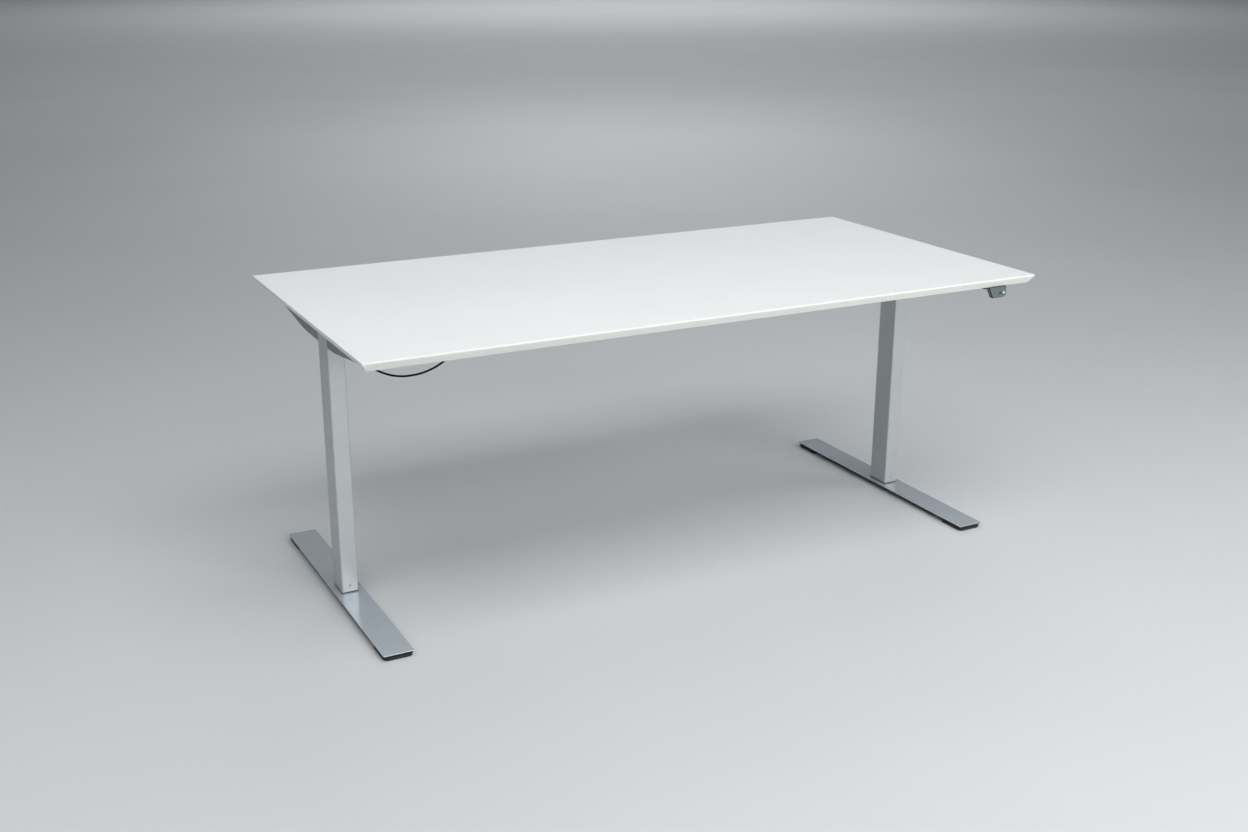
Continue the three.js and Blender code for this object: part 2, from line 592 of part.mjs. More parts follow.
// A saddle on the rear face of the front rail, round a motor lead.
function railClip(x) {
  const face = RAIL.depth / 2 - RAIL.y + GAP;
  const z = UNDERSIDE - RAIL_LEAD_DROP;
  return cut(
    block([x - 5, face, z - 5], [x + 5, face + 8, z + 12]),
    rod([x - 6, RAIL_LEAD_Y, z], [x + 6, RAIL_LEAD_Y, z], LEAD_RADIUS + GAP, 16));
}

// A saddle under the desktop, round the handset lead where it runs straight past [x, y].
function desktopClip([x, y], [nextX, nextY]) {
  const z = UNDERSIDE - HANDSET_LEAD_DROP;
  const saddle = cut(
    block([-5, -11, z - 4.2], [5, 5, UNDERSIDE - GAP]),
    rod([-6, 0, z], [6, 0, z], HANDSET_LEAD_RADIUS + GAP, 16));
  return saddle.rotateZ(Math.atan2(nextY - y, nextX - x)).translate(x, y, 0);
}

// ---- Assembly --------------------------------------------------------------------------------------
add('desktop', desktop(), WHITE_LAMINATE);

for (const [name, side] of [['left', -1], ['right', 1]]) {
  const leg = new THREE.Group();
  leg.position.set(side * LEG_X, SETBACK, 0);
  desk.add(leg);
  add(`${name}_foot_plate`, footPlate(), FOOT_SILVER, leg);
  add(`${name}_front_pad`, footPad(-1), BLACK_PLASTIC, leg);
  add(`${name}_rear_pad`, footPad(1), BLACK_PLASTIC, leg);
  add(`${name}_front_foot_screw`, footScrew().translate(0, -FOOT_SCREW.y, 0), BARE_STEEL, leg);
  add(`${name}_rear_foot_screw`, footScrew().translate(0, FOOT_SCREW.y, 0), BARE_STEEL, leg);
  add(`${name}_foot_block`, footBlock(), CAST_METAL, leg);
  add(`${name}_inner_column`, rectTube(INNER, FOOT.top + GAP, INNER.top), SILVER_PAINT, leg);
  add(`${name}_upper_glide`, upperGlide(), GREY_GLIDE, leg);
  add(`${name}_spindle_nut`, spindleNut(), BRASS, leg);
  add(`${name}_spindle`, spindle(), BARE_STEEL, leg);
  add(`${name}_outer_column`, outerColumn(), SILVER_PAINT, leg);
  add(`${name}_lower_glide`, lowerGlide(), BLACK_PLASTIC, leg);
  add(`${name}_gear_housing`, gearHousing(), CAST_METAL, leg);
  add(`${name}_thrust_bearing`, thrustBearing(), BARE_STEEL, leg);
  add(`${name}_motor`, motor(), CAST_METAL, leg);
  add(`${name}_motor_cap`, motorCap(), BLACK_PLASTIC, leg);
  add(`${name}_front_arm`, arm(FRONT_ARM, -1, -side), SILVER_PAINT, leg);
  add(`${name}_rear_arm`, arm(REAR_ARM, 1, -side), SILVER_PAINT, leg);
}

const underframe = new THREE.Group();
underframe.position.y = SETBACK;
desk.add(underframe);
add('front_rail', rail().translate(0, -RAIL.y, 0), SILVER_PAINT, underframe);
add('rear_rail', rail().translate(0, RAIL.y, 0), SILVER_PAINT, underframe);

add('control_box_cover', controlBoxCover(), BLACK_PLASTIC, underframe);
add('control_box_tray', controlBoxTray(), BLACK_PLASTIC, underframe);
add('circuit_board', circuitBoard(), CIRCUIT_GREEN, underframe);
add('mains_inlet', mainsInlet(), BLACK_PLASTIC, underframe);
add('left_motor_plug', plug(-1, PORT.motorY, MOTOR_PLUG), BLACK_PLASTIC, underframe);
add('right_motor_plug', plug(1, PORT.motorY, MOTOR_PLUG), BLACK_PLASTIC, underframe);
add('handset_plug', plug(1, PORT.otherY, HANDSET_PLUG), BLACK_PLASTIC, underframe);

add('handset_shell', handsetShell(), BLACK_PLASTIC);
add('handset_face', handsetFace(), HANDSET_GREY);
add('up_button', button(UP_BUTTON_X), BUTTON_SILVER);
add('down_button', button(DOWN_BUTTON_X), BLACK_PLASTIC);

add('left_motor_lead', lead(LEFT_LEAD, LEAD_RADIUS, 8, 76), BLACK_CABLE, underframe);
add('right_motor_lead', lead(RIGHT_LEAD, LEAD_RADIUS, 8, 60), BLACK_CABLE, underframe);
add('handset_lead', lead(HANDSET_LEAD, HANDSET_LEAD_RADIUS, 8, 64), BLACK_CABLE, underframe);
add('left_lead_outer_clip', railClip(-490), BLACK_PLASTIC, underframe);
add('left_lead_inner_clip', railClip(-275), BLACK_PLASTIC, underframe);
add('right_lead_outer_clip', railClip(690), BLACK_PLASTIC, underframe);
add('right_lead_inner_clip', railClip(275), BLACK_PLASTIC, underframe);
add('handset_lead_outer_clip', desktopClip(HANDSET_LEAD[7], HANDSET_LEAD[8]), BLACK_PLASTIC, underframe);
add('handset_lead_inner_clip', desktopClip(HANDSET_LEAD[9], HANDSET_LEAD[8]), BLACK_PLASTIC, underframe);

export default desk;
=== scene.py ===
"""Looks of the height adjustable standing desk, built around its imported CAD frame.

Shapes are drawn in millimetres and turned into metres when a piece is made; the camera and studio are in
metres. +X runs to the right along the desktop, +Y to the back and +Z up, as in the frame.
"""

import math

import bmesh
import bpy
from mathutils import Matrix, Vector


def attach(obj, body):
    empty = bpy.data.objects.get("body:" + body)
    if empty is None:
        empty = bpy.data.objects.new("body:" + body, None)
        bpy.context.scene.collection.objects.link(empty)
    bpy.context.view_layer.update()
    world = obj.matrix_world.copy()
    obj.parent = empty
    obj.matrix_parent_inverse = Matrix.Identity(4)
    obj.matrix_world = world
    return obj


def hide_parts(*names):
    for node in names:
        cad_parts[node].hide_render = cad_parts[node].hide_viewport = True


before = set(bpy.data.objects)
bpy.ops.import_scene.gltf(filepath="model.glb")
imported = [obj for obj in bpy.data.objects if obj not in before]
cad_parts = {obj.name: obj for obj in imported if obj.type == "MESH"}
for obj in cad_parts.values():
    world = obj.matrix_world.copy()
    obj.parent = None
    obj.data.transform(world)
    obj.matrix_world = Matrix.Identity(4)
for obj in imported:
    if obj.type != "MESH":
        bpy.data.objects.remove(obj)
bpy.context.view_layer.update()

MM = 0.001
SIDES = (("left", -1), ("right", 1))

# ---- Driving dimensions, as in the CAD part ----------------------------------
HEIGHT = 728
UNDERSIDE = 706
DESKTOP = (1800, 900)
LEG_X = 826
SETBACK = 27  # how far the legs, rails and control box sit behind the desktop's middle line
FOOT = (75, 794)
PAD = (75, 90)
PAD_Y = 352
OUTER_COLUMN = (42, 72)
INNER_COLUMN = (32, 62)
GAP = 0.3

# ---- Camera ------------------------------------------------------------------
CAMERA_PLACE = Vector((-1.7498, -3.2343, 1.57))
CAMERA_YAW = 0.4812  # to the right of +Y
CAMERA_PITCH = 0.3213  # below the horizon
CAMERA_ROLL = -0.0026
CAMERA_LENS = 42.161
CAMERA_SENSOR = 36
VIEW_LIMIT = 200


def new_object(name, data):
    """An object in the scene that holds the given data."""
    made = bpy.data.objects.new(name, data)
    bpy.context.scene.collection.objects.link(made)
    return made


def make_camera():
    data = bpy.data.cameras.new("view_camera")
    data.lens = CAMERA_LENS
    data.sensor_width = CAMERA_SENSOR
    data.clip_end = VIEW_LIMIT
    camera = new_object("view_camera", data)
    level = math.cos(CAMERA_PITCH)
    forward = Vector((math.sin(CAMERA_YAW) * level, math.cos(CAMERA_YAW) * level, -math.sin(CAMERA_PITCH)))
    right = Vector((math.cos(CAMERA_YAW), -math.sin(CAMERA_YAW), 0))
    down = forward.cross(right)
    turn_cos, turn_sin = math.cos(CAMERA_ROLL), math.sin(CAMERA_ROLL)
    image_right = turn_cos * right + turn_sin * down
    image_down = turn_cos * down - turn_sin * right
    rows = Matrix((image_right, -image_down, -forward)).transposed()
    camera.matrix_world = Matrix.Translation(CAMERA_PLACE) @ rows.to_4x4()
    bpy.context.scene.camera = camera


make_camera()


# ---- Materials ---------------------------------------------------------------
class Nodes:
    """Adds nodes to one material and links them."""

    def __init__(self, name):
        self.material = bpy.data.materials.new(name)
        self.material.use_nodes = True
        self.tree = self.material.node_tree
        self.shader = self.tree.nodes["Principled BSDF"]
        self.place = self.tree.nodes.new("ShaderNodeTexCoord").outputs["Object"]

    def add(self, kind, inputs=None, **settings):
        node = self.tree.nodes.new(kind)
        for key, value in settings.items():
            setattr(node, key, value)
        for key, value in (inputs or {}).items():
            self.put(node.inputs[key], value)
        return node

    def put(self, socket, value):
        if isinstance(value, bpy.types.NodeSocket):
            self.tree.links.new(value, socket)
        else:
            socket.default_value = value

    def stretched(self, scale):
        """The place, stretched by a scale along each axis."""
        return self.add("ShaderNodeMapping", {"Vector": self.place, "Scale": scale}).outputs["Vector"]

    def noise(self, size, detail=2.0, place=None, roughness=0.5):
        """Noise from 0 to 1 whose features are about size metres wide."""
        return self.add("ShaderNodeTexNoise", {
            "Vector": place or self.place, "Scale": 1 / size, "Detail": detail, "Roughness": roughness,
        }).outputs["Fac"]

    def spread(self, value, low, high, start=0.3, end=0.7):
        return self.add("ShaderNodeMapRange", {
            "Value": value, "From Min": start, "From Max": end, "To Min": low, "To Max": high,
        }).outputs["Result"]

    def blend(self, factor, low, high):
        """A colour between two colours. A colour Mix node's own sockets are inputs 6 and 7 and output 2."""
        node = self.add("ShaderNodeMix", data_type="RGBA")
        self.put(node.inputs[0], factor)
        self.put(node.inputs[6], low)
        self.put(node.inputs[7], high)
        return node.outputs[2]

    def bump(self, height, depth, strength=1.0, after=None):
        inputs = {"Height": height, "Distance": depth, "Strength": strength}
        if after is not None:
            inputs["Normal"] = after
        return self.add("ShaderNodeBump", inputs).outputs["Normal"]

    def finish(self, **sockets):
        for name, value in sockets.items():
            self.put(self.shader.inputs[name.replace("_", " ")], value)
        return self.material


def shade(color, factor):
    return tuple(min(1.0, channel * factor) for channel in color) + (1.0,)


def paint(name, color, roughness, metallic=0.0, mottle=0.04, mottle_size=0.09, peel=2e-5, peel_size=0.0016,
          fleck=0.0, **sockets):
    """A sprayed or moulded surface: slow tone changes, uneven gloss, fine grain, and flecks where asked."""
    nodes = Nodes(name)
    tone = nodes.spread(nodes.noise(mottle_size, 4), 0, 1)
    base = nodes.blend(tone, shade(color, 1 - mottle), shade(color, 1 + mottle))
    if fleck:
        grains = nodes.noise(0.0009, 1, roughness=0.3)
        base = nodes.blend(nodes.spread(grains, 0, fleck, 0.55, 0.75), base, shade(color, 1.7))
    gloss = nodes.spread(nodes.noise(0.02, 5), roughness * 0.9, roughness * 1.12)
    height = nodes.noise(peel_size, 3)
    return nodes.finish(Base_Color=base, Roughness=gloss, Metallic=metallic, Normal=nodes.bump(height, peel),
                        **sockets)


def brushed(name, color, roughness, stretch, metallic=1.0):
    """Metal drawn or ground along one axis."""
    nodes = Nodes(name)
    lines = nodes.noise(0.0012, 3, nodes.stretched(stretch))
    base = nodes.blend(nodes.spread(nodes.noise(0.03, 3), 0, 1), shade(color, 0.9), shade(color, 1.08))
    gloss = nodes.spread(lines, roughness * 0.8, roughness * 1.3)
    return nodes.finish(Base_Color=base, Roughness=gloss, Metallic=metallic, Normal=nodes.bump(lines, 1.5e-5))


THREAD_SCALE = 53.0532  # of the wave texture: its crests are 5.9 mm apart


def threaded_steel():
    """Rolled trapezoidal thread on a bar along Z."""
    nodes = Nodes("spindle_thread")
    wave = nodes.add("ShaderNodeTexWave", {"Vector": nodes.place, "Scale": THREAD_SCALE, "Distortion": 0.0},
                     wave_type="BANDS", bands_direction="Z", wave_profile="SIN")
    crest = nodes.spread(wave.outputs["Fac"], 0, 1, 0.35, 0.65)
    base = nodes.blend(crest, (0.22, 0.21, 0.19, 1), (0.6, 0.6, 0.6, 1))
    return nodes.finish(Base_Color=base, Roughness=nodes.spread(crest, 0.5, 0.28, 0, 1), Metallic=0.9,
                        Normal=nodes.bump(crest, 6e-4))


def foot_paint():
    """Glossy silver lacquer over flat steel, with faint rubbed streaks where shoes have been."""
    nodes = Nodes("foot_lacquer")
    color = (0.47, 0.522, 0.572)
    tone = nodes.spread(nodes.noise(0.12, 4), 0, 1)
    base = nodes.blend(tone, shade(color, 0.97), shade(color, 1.03))
    fleck = nodes.spread(nodes.noise(0.0009, 1), 0, 0.22, 0.58, 0.75)
    base = nodes.blend(fleck, base, shade(color, 1.6))
    streak = nodes.noise(0.02, 6, nodes.stretched((1.0, 0.18, 1.0)), 0.65)
    rub = nodes.spread(streak, 0.0, 1.0, 0.52, 0.72)
    gloss = nodes.spread(rub, 0.16, 0.2, 0.0, 1.0)
    height = nodes.noise(0.0022, 3)
    return nodes.finish(Base_Color=base, Roughness=gloss, Metallic=0.35, Normal=nodes.bump(height, 1.2e-5),
                        Coat_Weight=0.35, Coat_Roughness=0.12)


def laminate(name, color, roughness):
    """White melamine: a very fine pearl grain with slow, barely visible tone and gloss changes."""
    nodes = Nodes(name)
    tone = nodes.spread(nodes.noise(0.25, 4), 0, 1)
    base = nodes.blend(tone, shade(color, 0.985), shade(color, 1.008))
    speck = nodes.spread(nodes.noise(0.0016, 2), 0, 0.25, 0.6, 0.8)
    base = nodes.blend(speck, base, shade(color, 0.95))
    gloss = nodes.spread(nodes.noise(0.05, 5), roughness * 0.92, roughness * 1.1)
    pearl = nodes.noise(0.0012, 2)
    return nodes.finish(Base_Color=base, Roughness=gloss, Normal=nodes.bump(pearl, 1.6e-5), Specular_IOR_Level=0.35)


LOOKS = {
    "white_laminate": laminate("white_laminate", (0.815, 0.832, 0.838), 0.42),
    "white_edge": laminate("white_edge", (0.775, 0.77, 0.735), 0.36),
    "column_paint": paint("column_paint", (0.478, 0.508, 0.515), 0.36, 0.45, 0.03, fleck=0.2),
    "inner_column_paint": paint("inner_column_paint", (0.478, 0.508, 0.515), 0.32, 0.5, 0.03, fleck=0.2),
    # The arms' silver paint is made much darker than the columns': painted shade for the shade under the desktop.
    "arm_paint_painted_shade": paint("arm_paint_painted_shade", (0.215, 0.24, 0.262), 0.4, 0.4, 0.04, fleck=0.2),
    "rail_paint": paint("rail_paint", (0.46, 0.475, 0.49), 0.38, 0.45, 0.05, fleck=0.2),
    "foot_lacquer": foot_paint(),
    # Near-black finish for the foot plates' undercut bevel and underside: painted shade for the shadow under each
    # plate.
    "foot_underside_painted_shade": paint("foot_underside_painted_shade", (0.012, 0.012, 0.013), 0.6, peel=6e-5),
    "pad_rubber": paint("pad_rubber", (0.014, 0.014, 0.015), 0.7, peel=6e-5, peel_size=0.001),
    "glide_plastic": paint("glide_plastic", (0.07, 0.073, 0.078), 0.42),
    "box_plastic": paint("box_plastic", (0.022, 0.022, 0.024), 0.5, peel=5e-5, peel_size=0.0009),
    "clip_plastic": paint("clip_plastic", (0.018, 0.018, 0.019), 0.42),
    "handset_black": paint("handset_black", (0.012, 0.012, 0.013), 0.26, Coat_Weight=0.4, Coat_Roughness=0.08),
    "handset_grey": paint("handset_grey", (0.118, 0.15, 0.152), 0.2, 0.25, Coat_Weight=0.6, Coat_Roughness=0.05),
    "button_silver": paint("button_silver", (0.78, 0.8, 0.81), 0.22, 0.55, 0.02),
    "button_dark": paint("button_dark", (0.02, 0.024, 0.028), 0.35),
    "cable_jacket": paint("cable_jacket", (0.003, 0.003, 0.0033), 0.6, peel=4e-5, peel_size=0.0012,
                          Specular_IOR_Level=0.15),
    "motor_paint": paint("motor_paint", (0.05, 0.05, 0.052), 0.36, 0.3, 0.08),
    "tray_paint": paint("tray_paint", (0.03, 0.03, 0.032), 0.5, 0.2),
    "circuit_green": paint("circuit_green", (0.02, 0.09, 0.035), 0.4, 0.0, 0.2, 0.01),
    "zinc": brushed("zinc", (0.62, 0.63, 0.62), 0.3, (1, 1, 1)),
    "cast_metal": paint("cast_metal", (0.46, 0.47, 0.48), 0.48, 0.9, 0.08, 0.02, 8e-5, 0.0018),
    "turned_brass": brushed("turned_brass", (0.62, 0.46, 0.2), 0.3, (1, 1, 12)),
    "bearing_steel": brushed("bearing_steel", (0.6, 0.6, 0.61), 0.2, (1, 1, 20)),
    "spindle_thread": threaded_steel(),
}


# ---- Shapes: a shape is (points in millimetres, faces) -----------------------
def merged(*shapes):
    points, faces = [], []
    for shape_points, shape_faces in shapes:
        start = len(points)
        points += [Vector(point) for point in shape_points]
        faces += [[start + i for i in face] for face in shape_faces]
    return points, faces


def moved(shape, matrix):
    points = [matrix @ Vector(point) for point in shape[0]]
    if matrix.determinant() < 0:
        return points, [list(reversed(face)) for face in shape[1]]
    return points, shape[1]


def shifted(shape, x=0.0, y=0.0, z=0.0):
    return moved(shape, Matrix.Translation((x, y, z)))


def aimed(shape, direction, place=(0, 0, 0)):
    """Turns a shape drawn standing on Z to stand along a direction at a place."""
    turn = Vector((0, 0, 1)).rotation_difference(Vector(direction)).to_matrix().to_4x4()
    return moved(shape, Matrix.Translation(place) @ turn)


def fillet(corners, radii, steps=4, closed=False):
    """A line through 2D corners, rounded by one radius or by each corner's own."""
    count = len(corners)
    line = []
    for i, corner in enumerate(corners):
        here = Vector(corner)
        radius = radii[i] if isinstance(radii, (list, tuple)) else radii
        if not radius or (not closed and i in (0, count - 1)):
            line.append(here)
            continue
        before = (Vector(corners[i - 1]) - here).normalized()
        after = (Vector(corners[(i + 1) % count]) - here).normalized()
        half = before.angle(after) / 2
        reach = radius / math.tan(half)
        centre = here + (before + after).normalized() * (radius / math.sin(half))
        start = here + before * reach - centre
        end = here + after * reach - centre
        sweep = math.atan2(start.x * end.y - start.y * end.x, start.dot(end))
        for step in range(steps + 1):
            turn = Matrix.Rotation(sweep * step / steps, 2)
            line.append(centre + turn @ start)
    return line


def round_rect(width, depth, radius, steps=8):
    """A rectangle with round corners about the origin, counterclockwise."""
    radius = max(radius, 0.05)
    loop = []
    for quarter, (side_x, side_y) in enumerate(((1, 1), (-1, 1), (-1, -1), (1, -1))):
        for step in range(steps + 1):
            angle = (quarter + step / steps) * math.pi / 2
            loop.append((side_x * (width / 2 - radius) + radius * math.cos(angle),
                         side_y * (depth / 2 - radius) + radius * math.sin(angle)))
    return loop


def rect_outline(width, depth, radius, steps=8):
    """The outline of a rounded rectangle, as a function of how far it is drawn in."""
    return lambda inset: round_rect(width - 2 * inset, depth - 2 * inset, radius - inset, steps)


def skinned(sections, ring=False):
    """A solid through closed sections of equally many 3D points; a ring joins the last to the first."""
    count = len(sections[0])
    points = [point for section in sections for point in section]
    faces = []
    for level in range(len(sections) if ring else len(sections) - 1):
        low = level * count
        high = (level + 1) % len(sections) * count
        for i in range(count):
            j = (i + 1) % count
            faces.append([low + i, low + j, high + j, high + i])
    if not ring:
        faces.append(list(reversed(range(count))))
        faces.append([(len(sections) - 1) * count + i for i in range(count)])
    return points, faces


def layers(outline, levels, ring=False):
    """A solid through outlines drawn in by each level's inset at its height; a ring closes on itself."""
    return skinned([[Vector((x, y, z)) for x, y in outline(inset)] for inset, z in levels], ring)


def slab(outline, bottom, top, edge=0.4, steps=3):
    """A plate with rounded edges all round."""
    levels = fillet([(edge + 1, bottom), (0, bottom), (0, top), (edge + 1, top)], edge, steps)
    return layers(outline, levels[1:-1])


def tube(width, depth, corner, wall, bottom, top, edge=0.5):
    """A rectangular tube standing on Z, with broken edges at its two ends."""
    levels = fillet([(0, bottom), (0, top), (wall, top), (wall, bottom)], edge, 2, closed=True)
    return layers(rect_outline(width, depth, corner), levels, ring=True)


def lathe(profile, segments=40):
    """A turned solid on the Z axis, from its profile of (radius, z) going up, starting and ending on the axis."""
    points, faces, rings = [], [], []
    for radius, z in profile:
        if radius < 1e-6:
            rings.append([len(points)])
            points.append(Vector((0, 0, z)))
            continue
        rings.append(list(range(len(points), len(points) + segments)))
        for i in range(segments):
            angle = 2 * math.pi * i / segments
            points.append(Vector((radius * math.cos(angle), radius * math.sin(angle), z)))
    for low, high in zip(rings, rings[1:]):
        for i in range(segments):
            j = (i + 1) % segments
            face = [low[i % len(low)], low[j % len(low)], high[j % len(high)], high[i % len(high)]]
            faces.append(list(dict.fromkeys(face)))
    return points, faces


def turned(corners, radii=0.4, segments=40, steps=3):
    """A turned solid whose profile's corners are rounded."""
    return lathe(fillet(corners, radii, steps), segments)


def regular(sides, radius, turn=0.0):
    """A regular polygon about the origin, counterclockwise."""
    angles = [turn + 2 * math.pi * i / sides for i in range(sides)]
    return [(radius * math.cos(angle), radius * math.sin(angle)) for angle in angles]


def prism(loop, bottom, top):
    """A plain prism with sharp edges, for cutters and sockets."""
    return layers(lambda inset: loop, [(0, bottom), (0, top)])


def bar(sides, radius, bottom, top, turn=0.0):
    return prism(regular(sides, radius, turn), bottom, top)


def cuboid(low, high):
    loop = [(high[0], low[1]), (high[0], high[1]), (low[0], high[1]), (low[0], low[1])]
    return prism(loop, low[2], high[2])


SHARPEST_CORNER = 0.35  # limits how far a sharp corner is drawn in


def extruded(loop, start, end, edge=0.0, steps=2):
    """A closed 2D loop, counterclockwise, swept from start to end along Z, with its two rims rounded by edge."""
    count = len(loop)
    normals = []
    for i in range(count):
        before = (Vector(loop[i]) - Vector(loop[i - 1])).normalized()
        after = (Vector(loop[(i + 1) % count]) - Vector(loop[i])).normalized()
        inward = Vector((-(before + after).y, (before + after).x)).normalized()
        cosine = max(SHARPEST_CORNER, inward.dot(Vector((-after.y, after.x))))
        normals.append(inward / cosine)

    def outline(inset):
        return [tuple(Vector(point) + normal * inset) for point, normal in zip(loop, normals)]

    if not edge:
        return layers(outline, [(0, start), (0, end)])
    return slab(outline, start, end, edge, steps)


def raw_object(shape):
    mesh = bpy.data.meshes.new("work")
    mesh.from_pydata([tuple(point) for point in shape[0]], [], shape[1])
    mesh.update()
    return new_object("work", mesh)


def combined(shape, cuts=(), joins=()):
    """A shape after joining and cutting others with exact booleans."""
    base = raw_object(shape)
    others = []
    for operation, group in (("UNION", joins), ("DIFFERENCE", cuts)):
        for other in group:
            modifier = base.modifiers.new("step", "BOOLEAN")
            modifier.solver = "EXACT"
            modifier.operation = operation
            modifier.object = raw_object(other)
            others.append(modifier.object)
    graph = bpy.context.evaluated_depsgraph_get()
    mesh = base.evaluated_get(graph).to_mesh()
    result = ([vertex.co.copy() for vertex in mesh.vertices], [list(face.vertices) for face in mesh.polygons])
    base.evaluated_get(graph).to_mesh_clear()
    for thing in (base, *others):
        data = thing.data
        bpy.data.objects.remove(thing)
        bpy.data.meshes.remove(data)
    return result


def facing_out(shape):
    """The same shape with its faces turned outwards."""
    mesh = bmesh.new()
    verts = [mesh.verts.new(point) for point in shape[0]]
    for face in shape[1]:
        mesh.faces.new([verts[i] for i in face])
    bmesh.ops.recalc_face_normals(mesh, faces=mesh.faces)
    mesh.verts.index_update()
    result = ([vert.co.copy() for vert in mesh.verts], [[vert.index for vert in face.verts] for face in mesh.faces])
    mesh.free()
    return result


# ---- Pieces ------------------------------------------------------------------
BEVEL_ANGLE = 38


def piece(name, shape, body, look, replaces=(), bevel=0.0, second=None):
    """Makes a piece from a shape. second is (look, test of a face's normal and centre) for a second material."""
    mesh = bpy.data.meshes.new(name)
    mesh.from_pydata([tuple(point * MM) for point in shape[0]], [], shape[1])
    mesh.update()
    mesh.materials.append(LOOKS[look])
    for face in mesh.polygons:
        face.use_smooth = True
    if second:
        mesh.materials.append(LOOKS[second[0]])
        for face in mesh.polygons:
            if second[1](face.normal, face.center / MM):
                face.material_index = 1
    made = new_object(name, mesh)
    if bevel:
        modifier = made.modifiers.new("broken_edges", "BEVEL")
        modifier.width = bevel * MM
        modifier.segments = 2
        modifier.limit_method = "ANGLE"
        modifier.angle_limit = math.radians(BEVEL_ANGLE)
    weighted = made.modifiers.new("flat_faces", "WEIGHTED_NORMAL")
    weighted.mode = "FACE_AREA"
    weighted.keep_sharp = True
    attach(made, body)
    if replaces:
        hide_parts(*replaces)
    return made


def at_leg(shape, side, y=0.0):
    """A shape drawn about a leg's middle, moved to the left or right leg."""
    return shifted(shape, side * LEG_X, SETBACK + y)


def dress(look, *nodes):
    """Gives carried-over CAD nodes a finish."""
    for name in nodes:
        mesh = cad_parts[name].data
        mesh.materials.clear()
        mesh.materials.append(LOOKS[look])


# ---- Leads -------------------------------------------------------------------
# Routes are lists of (x, y from the legs' middle line, distance below the underside).
LEAD_DIAMETER = 5
HANDSET_LEAD_DIAMETER = 4
MOTOR_LEAD_END = [  # both motor leads' last part, as on the right: from the rail to the plug
    (255, -160.5, 24), (240, -160.5, 24), (227.5, -158.5, 23.7), (215, -152.9, 23), (202.5, -145.3, 22),
    (190, -137.6, 21), (177.5, -132, 20.3), (165, -130, 20), (156.5, -130, 20),
]
LEFT_LEAD = [
    (-826, -155, 43.3), (-826, -155, 45.5), (-825.2, -155, 51.7), (-822.8, -155, 57.5),
    (-819, -155, 62.5), (-814, -155, 66.5), (-800, -155, 74.9), (-788, -155.2, 82.4),
    (-776, -155.3, 89.9), (-764, -155.5, 97), (-750, -155.7, 104.4), (-736, -156, 110.4),
    (-721, -156.3, 114.8), (-706, -156.7, 117.3), (-690, -157.2, 118), (-668, -157.8, 116.7),
    (-645, -158.4, 111.8), (-622, -159, 103), (-601, -159.4, 90.9), (-583, -159.8, 76.5),
    (-569, -160.1, 62), (-557.5, -160.3, 49.2), (-547, -160.5, 38.6), (-536, -160.5, 30.4),
    (-522, -160.5, 25.4), (-506, -160.5, 24), (-485, -160.5, 24), (-380, -160.5, 24),
    *((-x, y, below) for x, y, below in MOTOR_LEAD_END),
]
RIGHT_LEAD = [
    (826, -155, 43.3), (826, -155, 55), (824.1, -155.2, 64.6), (818.7, -155.5, 72.7),
    (810.6, -155.9, 78.1), (801, -156.3, 80), (791.4, -156.8, 78.1), (783.3, -157.3, 72.7),
    (777.6, -157.9, 64.5), (772.5, -158.5, 55.6), (767.2, -159.1, 46.4), (761.4, -159.7, 36.9),
    (755.9, -160, 30.2), (748.3, -160.3, 25.6), (739.8, -160.5, 24), (724, -160.5, 24),
    (560, -160.5, 24), (400, -160.5, 24), *MOTOR_LEAD_END,
]
HANDSET_LEAD = [
    (790, -439.7, 14), (790, -429, 13.6), (788, -414.9, 11.2), (782, -400.5, 7.6), (770, -385.9, 5.2),
    (750, -372.8, 4.4), (700, -354.9, 4.3), (600, -328.8, 4.3), (500, -302.7, 4.3), (400, -276.6, 4.3),
    (310, -253, 4.5), (288, -243, 7), (276, -231, 13.5), (269, -219, 23), (264, -206, 33.5),
    (260, -192, 40.5), (256.5, -177, 42), (253, -163, 38.5), (249, -150, 31), (242, -136, 24.5),
    (231, -122, 21), (215, -111, 20.2), (196, -105, 20), (176, -104, 20), (156.5, -104, 20),
]


def centripetal(points, steps):
    """Points on the centripetal Catmull-Rom curve through the given points."""
    ends = [2 * points[0] - points[1], *points, 2 * points[-1] - points[-2]]
    line = [points[0]]
    for p0, p1, p2, p3 in zip(ends, ends[1:], ends[2:], ends[3:]):
        t0 = math.sqrt((p1 - p0).length)
        t1 = math.sqrt((p2 - p1).length)
        t2 = math.sqrt((p3 - p2).length)
        slope1 = ((p1 - p0) / t0 - (p2 - p0) / (t0 + t1) + (p2 - p1) / t1) * t1
        slope2 = ((p2 - p1) / t1 - (p3 - p1) / (t1 + t2) + (p3 - p2) / t2) * t1
        for step in range(1, steps + 1):
            t = step / steps
            line.append(p1 * (2 * t ** 3 - 3 * t ** 2 + 1) + slope1 * (t ** 3 - 2 * t ** 2 + t)
                        + p2 * (3 * t ** 2 - 2 * t ** 3) + slope2 * (t ** 3 - t ** 2))
    return line


def lead(name, route, diameter, node):
    """A round jacketed lead along its route."""
    knots = [Vector((x, SETBACK + y, UNDERSIDE - below)) * MM for x, y, below in route]
    line = centripetal(knots, 6)
    data = bpy.data.curves.new(name, "CURVE")
    data.dimensions = "3D"
    data.bevel_depth = diameter / 2 * MM
    data.bevel_resolution = 5
    data.use_fill_caps = True
    spline = data.splines.new("POLY")
    spline.points.add(len(line) - 1)
    for point, place in zip(spline.points, line):
        point.co = (*place, 1)
    data.materials.append(LOOKS["cable_jacket"])
    made = new_object(name, data)
    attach(made, "top_frame")
    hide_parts(node)
    return made


left_lead = lead("left_motor_lead_jacket", LEFT_LEAD, LEAD_DIAMETER, "left_motor_lead")
lead("right_motor_lead_jacket", RIGHT_LEAD, LEAD_DIAMETER, "right_motor_lead")
lead("handset_lead_jacket", HANDSET_LEAD, HANDSET_LEAD_DIAMETER, "handset_lead")

